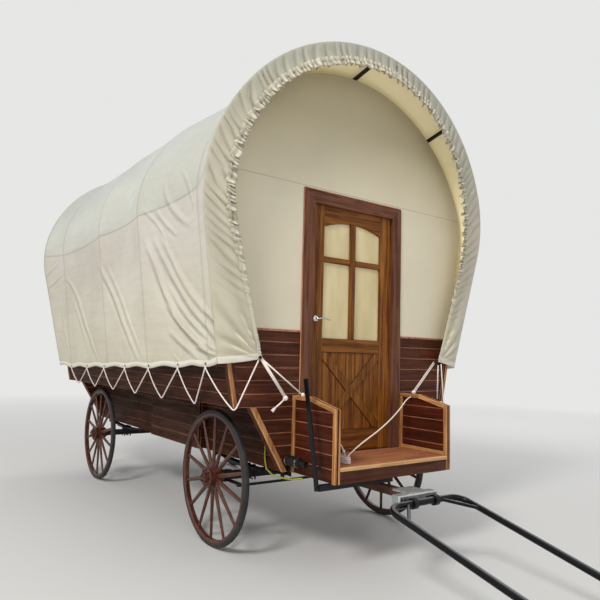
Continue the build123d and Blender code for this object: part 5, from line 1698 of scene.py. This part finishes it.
# %% The free rope and its hank
ROPE_D = 0.011
route = [(3650, 551.7, 1192), (3655, 500, 1177), (3675, 430, 1126), (3700, 335, 1068), (3727, 225, 1012),
         (3752, 115, 963), (3778, 5, 922), (3802, -100, 887), (3825, -195, 853), (3842, -275, 818),
         (3855, -340, 782)]
rope_points = [at(x / 1000, y / 1000, z / 1000) for x, y, z in route]
HANK_X, HANK_Y = 3.860, -0.390
TURNS = ((0.086, 0.036, 0.0060), (0.080, 0.020, 0.0060), (0.083, 0.035, 0.0180), (0.078, 0.020, 0.0180),
         (0.085, 0.036, 0.0300), (0.077, 0.020, 0.0300), (0.080, 0.033, 0.0420), (0.074, 0.019, 0.0420))
for long, wide, high in TURNS:
    for i in range(14):
        a = math.pi * 0.5 + 2 * math.pi * i / 14
        rope_points.append(at(HANK_X + long * math.cos(a), HANK_Y + wide * math.sin(a), DECK_Z + high))
free_rope = bpy.data.curves.new("free_rope", "CURVE")
free_rope.dimensions = "3D"
free_rope.bevel_depth = ROPE_D / 2
free_rope.bevel_resolution = 3
free_rope.resolution_u = 6
free_rope.use_fill_caps = True
spline = free_rope.splines.new("NURBS")
spline.points.add(len(rope_points) - 1)
for point, place in zip(spline.points, rope_points):
    point.co = (*place, 1.0)
spline.order_u = 4
spline.use_endpoint_u = True
free_rope.materials.append(white_rope)
rope = bpy.data.objects.new("free_rope", free_rope)
scene.collection.objects.link(rope)


def spline_length(curve_object):
    """The length of a curve's own line, without its thickness."""
    copy = curve_object.copy()
    copy.data = curve_object.data.copy()
    copy.data.bevel_depth = 0.0
    scene.collection.objects.link(copy)
    graph = bpy.context.evaluated_depsgraph_get()
    mesh = bpy.data.meshes.new_from_object(copy.evaluated_get(graph))
    places = [v.co.copy() for v in mesh.vertices]
    bpy.data.objects.remove(copy)
    return sum((b - a).length for a, b in zip(places, places[1:]))


rope_length = spline_length(rope)
print("free rope:", round(rope_length, 3), "m")
fasten(rope, "body", "rope", "rope_free", "rope_hank")

# %% [markdown]
# A short end ties the hank to the porch panel beside it, with a small knot on the way.

# %% The hank's tie
TIE_ROUTE = ((3.880, -0.372, 0.790), (3.890, -0.400, 0.839), (3.886, -0.430, 0.888),
             (3.880, -0.485, 0.915), (3.876, -0.555, 0.920))
parts = [tube([at(*point) for point in TIE_ROUTE], 0.0048)] + knot(at(3.889, -0.398, 0.836), 0.007)
hank_tie = round_piece("hank_tie", parts, white_rope, "body", "rope", smooth=True)
print("hank's tie:", len(hank_tie.data.polygons), "faces")

# %% [markdown]
# ## Steel parts
# The running gear stays as the solids have it, painted black. What a builder would add is small. U-bolts
# hold the springs to the axles: bent rods, with a short link under each pair.

# %% Spring clamps
SPRING_Y, CLAMP_HALF = 0.600, 0.036
SPRING_TOP = 0.5635 + 0.010 + 0.024
CLAMP_Z, LINK_Z = 0.485, 0.497
parts = []
for axle_x in (0.0, WHEELBASE):
    for hand in (-1, 1):
        y0, y1 = hand * (SPRING_Y - CLAMP_HALF), hand * (SPRING_Y + CLAMP_HALF)
        top = SPRING_TOP + 0.006
        bend = [(y0, CLAMP_Z), (y0, top - 0.008), (y0 + 0.006 * hand, top), (y1 - 0.006 * hand, top),
                (y1, top - 0.008), (y1, CLAMP_Z)]
        for step in (-0.040, 0.040):
            parts.append(tube([at(axle_x + step, y, z) for y, z in bend], 0.007, 10))
        ends = [at(axle_x + step, hand * SPRING_Y, LINK_Z) for step in (-0.06, 0.06)]
        parts.append(tube(ends, 0.006))
clamps = round_piece("spring_clamps", parts, black_steel, "body", "steel_frame")
print("clamps:", len(clamps.data.polygons), "faces")

# %% [markdown]
# Beside the porch the brake's cylinder sits in a black housing with two bright collars. A yellow hose comes
# down from the box and runs forward under it. The housing is turned from a profile.

# %% The brake's hose, housing and collars
BRAKE_Y, BRAKE_Z = -0.668, 0.745
HOSE = ((3.320, -0.706, 0.98), (3.316, -0.707, 0.84), (3.314, -0.706, 0.72), (3.330, -0.700, 0.645),
        (3.40, -0.690, 0.610), (3.50, -0.675, 0.603), (3.62, -0.665, 0.612), (3.74, -0.660, 0.640))
HOUSING = ((3.555, 0.022), (3.560, 0.036), (3.575, 0.038), (3.705, 0.038), (3.718, 0.034), (3.722, 0.020))
COLLAR, COLLAR_R = 0.008, 0.0395
on_axis = lambda x: at(x, BRAKE_Y, BRAKE_Z)
hose = tube([at(*point) for point in HOSE], 0.0065)
round_piece("brake_hose", [hose], hose_yellow, "body", "steel_frame", smooth=True)
round_piece("brake_housing", [turned(HOUSING, on_axis, 28)], black_steel, "body", "brake_black")
parts = [tube([on_axis(x), on_axis(x + COLLAR)], COLLAR_R, 28) for x in (3.572, 3.698)]
round_piece("brake_collars", parts, bright_steel, "body", "chrome")
print("brake collars:", len(parts))

# %% [markdown]
# The drawbar ends in a galvanised head that lies across the wagon. In front its edges stand up as four pale
# lips, and two bolts on each side hold the black lugs of the shafts' cross bar.

# %% The head's lips and bolts
HEAD_HALF, HEAD_Z0, HEAD_Z1, LIP, LIP_OUT = 0.195, 0.5034, 0.5634, 0.009, 0.014
lips = Timber(901)
for z0 in (HEAD_Z0, HEAD_Z1 - LIP):
    lips.bar(HEAD_FACE, HEAD_FACE + LIP_OUT, -HEAD_HALF, HEAD_HALF, z0, z0 + LIP, 0.0015)
for y0 in (-HEAD_HALF, HEAD_HALF - LIP):
    lips.bar(HEAD_FACE, HEAD_FACE + LIP_OUT, y0, y0 + LIP, HEAD_Z0 + LIP, HEAD_Z1 - LIP, 0.0015)
fasten(lips.done("head_lips", [pale_zinc]), "drawbar", "galvanised")
places = [at(HEAD_FACE + 0.003, y, 0.532) for y in (-0.165, -0.135, 0.165, 0.135)]
head_bolts = heads_at("head_bolts", places, [(1, 0, 0)] * len(places), 0.010, 0.008, bright_steel)
fasten(head_bolts, "drawbar", "galvanised")
print("head bolts:", len(places))

# %% [markdown]
# ## Materials for the solids that stay

# %% Finishes for the solids
kept = {
    black_steel: ["chassis_frame", "rear_axle", "rear_springs", "front_axle", "front_springs",
                  "knuckle_right", "knuckle_left", "tie_rod", "bow_frame", "brake_actuator"],
    rusted: ["drawbar"],
    gloss_black: ["shafts", "brake_lever"],
    galvanised: ["drawbar_head"],
    frame_wood: ["door_frame"],
    board_y: ["porch_frame"],
    board_x: ["floor", "shelf_right", "shelf_left"],
    trim_x: ["cap_rail_right", "cap_rail_left"],
    cream_paint: ["front_panel", "rear_panel"],
    glass: ["door_glass"],
}
for finish, names in kept.items():
    for name in names:
        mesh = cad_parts[name].data
        mesh.materials.clear()
        mesh.materials.append(finish)
print("solids with a finish:", sum(len(names) for names in kept.values()))

# %% [markdown]
# ## Floor, light and camera
# The wagon stands on a pale floor that fades into the background with distance, so no horizon shows. The
# sky lights everything evenly, while the camera sees a plain pale tone in its place.

# %% Floor and sky
pale, tree, shader = new_material("pale_floor")
wire(tree, shader, {"Base Color": (0.70, 0.69, 0.66, 1), "Roughness": 0.9})
away = vector_of(tree, "LENGTH", places_of(tree)["Object"])
glow = put(tree, "ShaderNodeEmission", {"Color": (0.80, 0.80, 0.79, 1), "Strength": 1.0}).outputs[0]
faded = put(tree, "ShaderNodeMixShader", {0: ramp_of(tree, away, 5.5, 17.0), 1: shader.outputs[0], 2: glow})
wire(tree, tree.nodes["Material Output"], {"Surface": faded.outputs[0]})
points = [Vector((x, y, 0.0)) for x, y in ((-60, -60), (60, -60), (60, 60), (-60, 60))]
ground = new_piece("ground", points, [[0, 1, 2, 3]], pale)
world = bpy.data.worlds.new("sky")
scene.world = world
world.use_nodes = True
tree = world.node_tree
back = tree.nodes["Background"]
wire(tree, back, {"Color": (0.93, 0.95, 1.0, 1), "Strength": 0.62})
seen = put(tree, "ShaderNodeBackground", {"Color": (0.80, 0.80, 0.79, 1), "Strength": 1.0})
path = put(tree, "ShaderNodeLightPath").outputs
camera_ray = math_of(tree, "MAXIMUM", path["Is Camera Ray"], path["Is Glossy Ray"])
camera_ray = math_of(tree, "MAXIMUM", camera_ray, path["Is Transmission Ray"])
mixed = put(tree, "ShaderNodeMixShader", {0: camera_ray, 1: back.outputs[0], 2: seen.outputs[0]})
wire(tree, tree.nodes["World Output"], {"Surface": mixed.outputs[0]})
print("floor and sky:", ground.name, world.name)

# %% [markdown]
# One large soft lamp stands high on the wagon's right, a weak one in front and a broad one on its left.
# The camera stands where the photographer stood: its place, direction and lens were fitted to the wheels
# and the body's edges.

# %% The lamps
def lamp(name, place, target, size, power, colour=(1, 1, 1)):
    data = bpy.data.lights.new(name, "AREA")
    data.shape = "DISK"
    data.size = size
    data.energy = power
    data.color = colour
    light = bpy.data.objects.new(name, data)
    light.location = place
    light.rotation_euler = (Vector(target) - Vector(place)).to_track_quat("-Z", "Y").to_euler()
    scene.collection.objects.link(light)
    return light


key = lamp("key", (5.0, -10.5, 10.5), (0, 0, 1.8), 3.5, 1150, (1.0, 0.985, 0.96))
fill = lamp("fill", (12.0, -3.0, 4.0), (0, 0, 1.6), 6.0, 90)
left = lamp("left", (-5.0, 11.0, 8.0), (0, 0, 1.8), 6.0, 330)
print("lamps:", key.name, fill.name, left.name)

# %% The camera
LOOK = Vector((-0.80423, 0.58629, 0.09733)).normalized()
ROLL = math.radians(1.569)
EYE = Vector((4.559845, -3.230, 1.509))
right = LOOK.cross(Vector((0, 0, 1))).normalized()
above = right.cross(LOOK)
across = right * math.cos(ROLL) + above * math.sin(ROLL)
upward = above * math.cos(ROLL) - right * math.sin(ROLL)
lens = bpy.data.cameras.new("camera")
lens.lens = 34.96
lens.sensor_width = 36.0
camera = bpy.data.objects.new("camera", lens)
turn = Matrix((across, upward, -LOOK)).transposed().to_4x4()
camera.matrix_world = Matrix.Translation(EYE) @ turn
scene.collection.objects.link(camera)
scene.camera = camera
scene.view_settings.view_transform = "Standard"
print("lens:", round(lens.lens, 2), "mm")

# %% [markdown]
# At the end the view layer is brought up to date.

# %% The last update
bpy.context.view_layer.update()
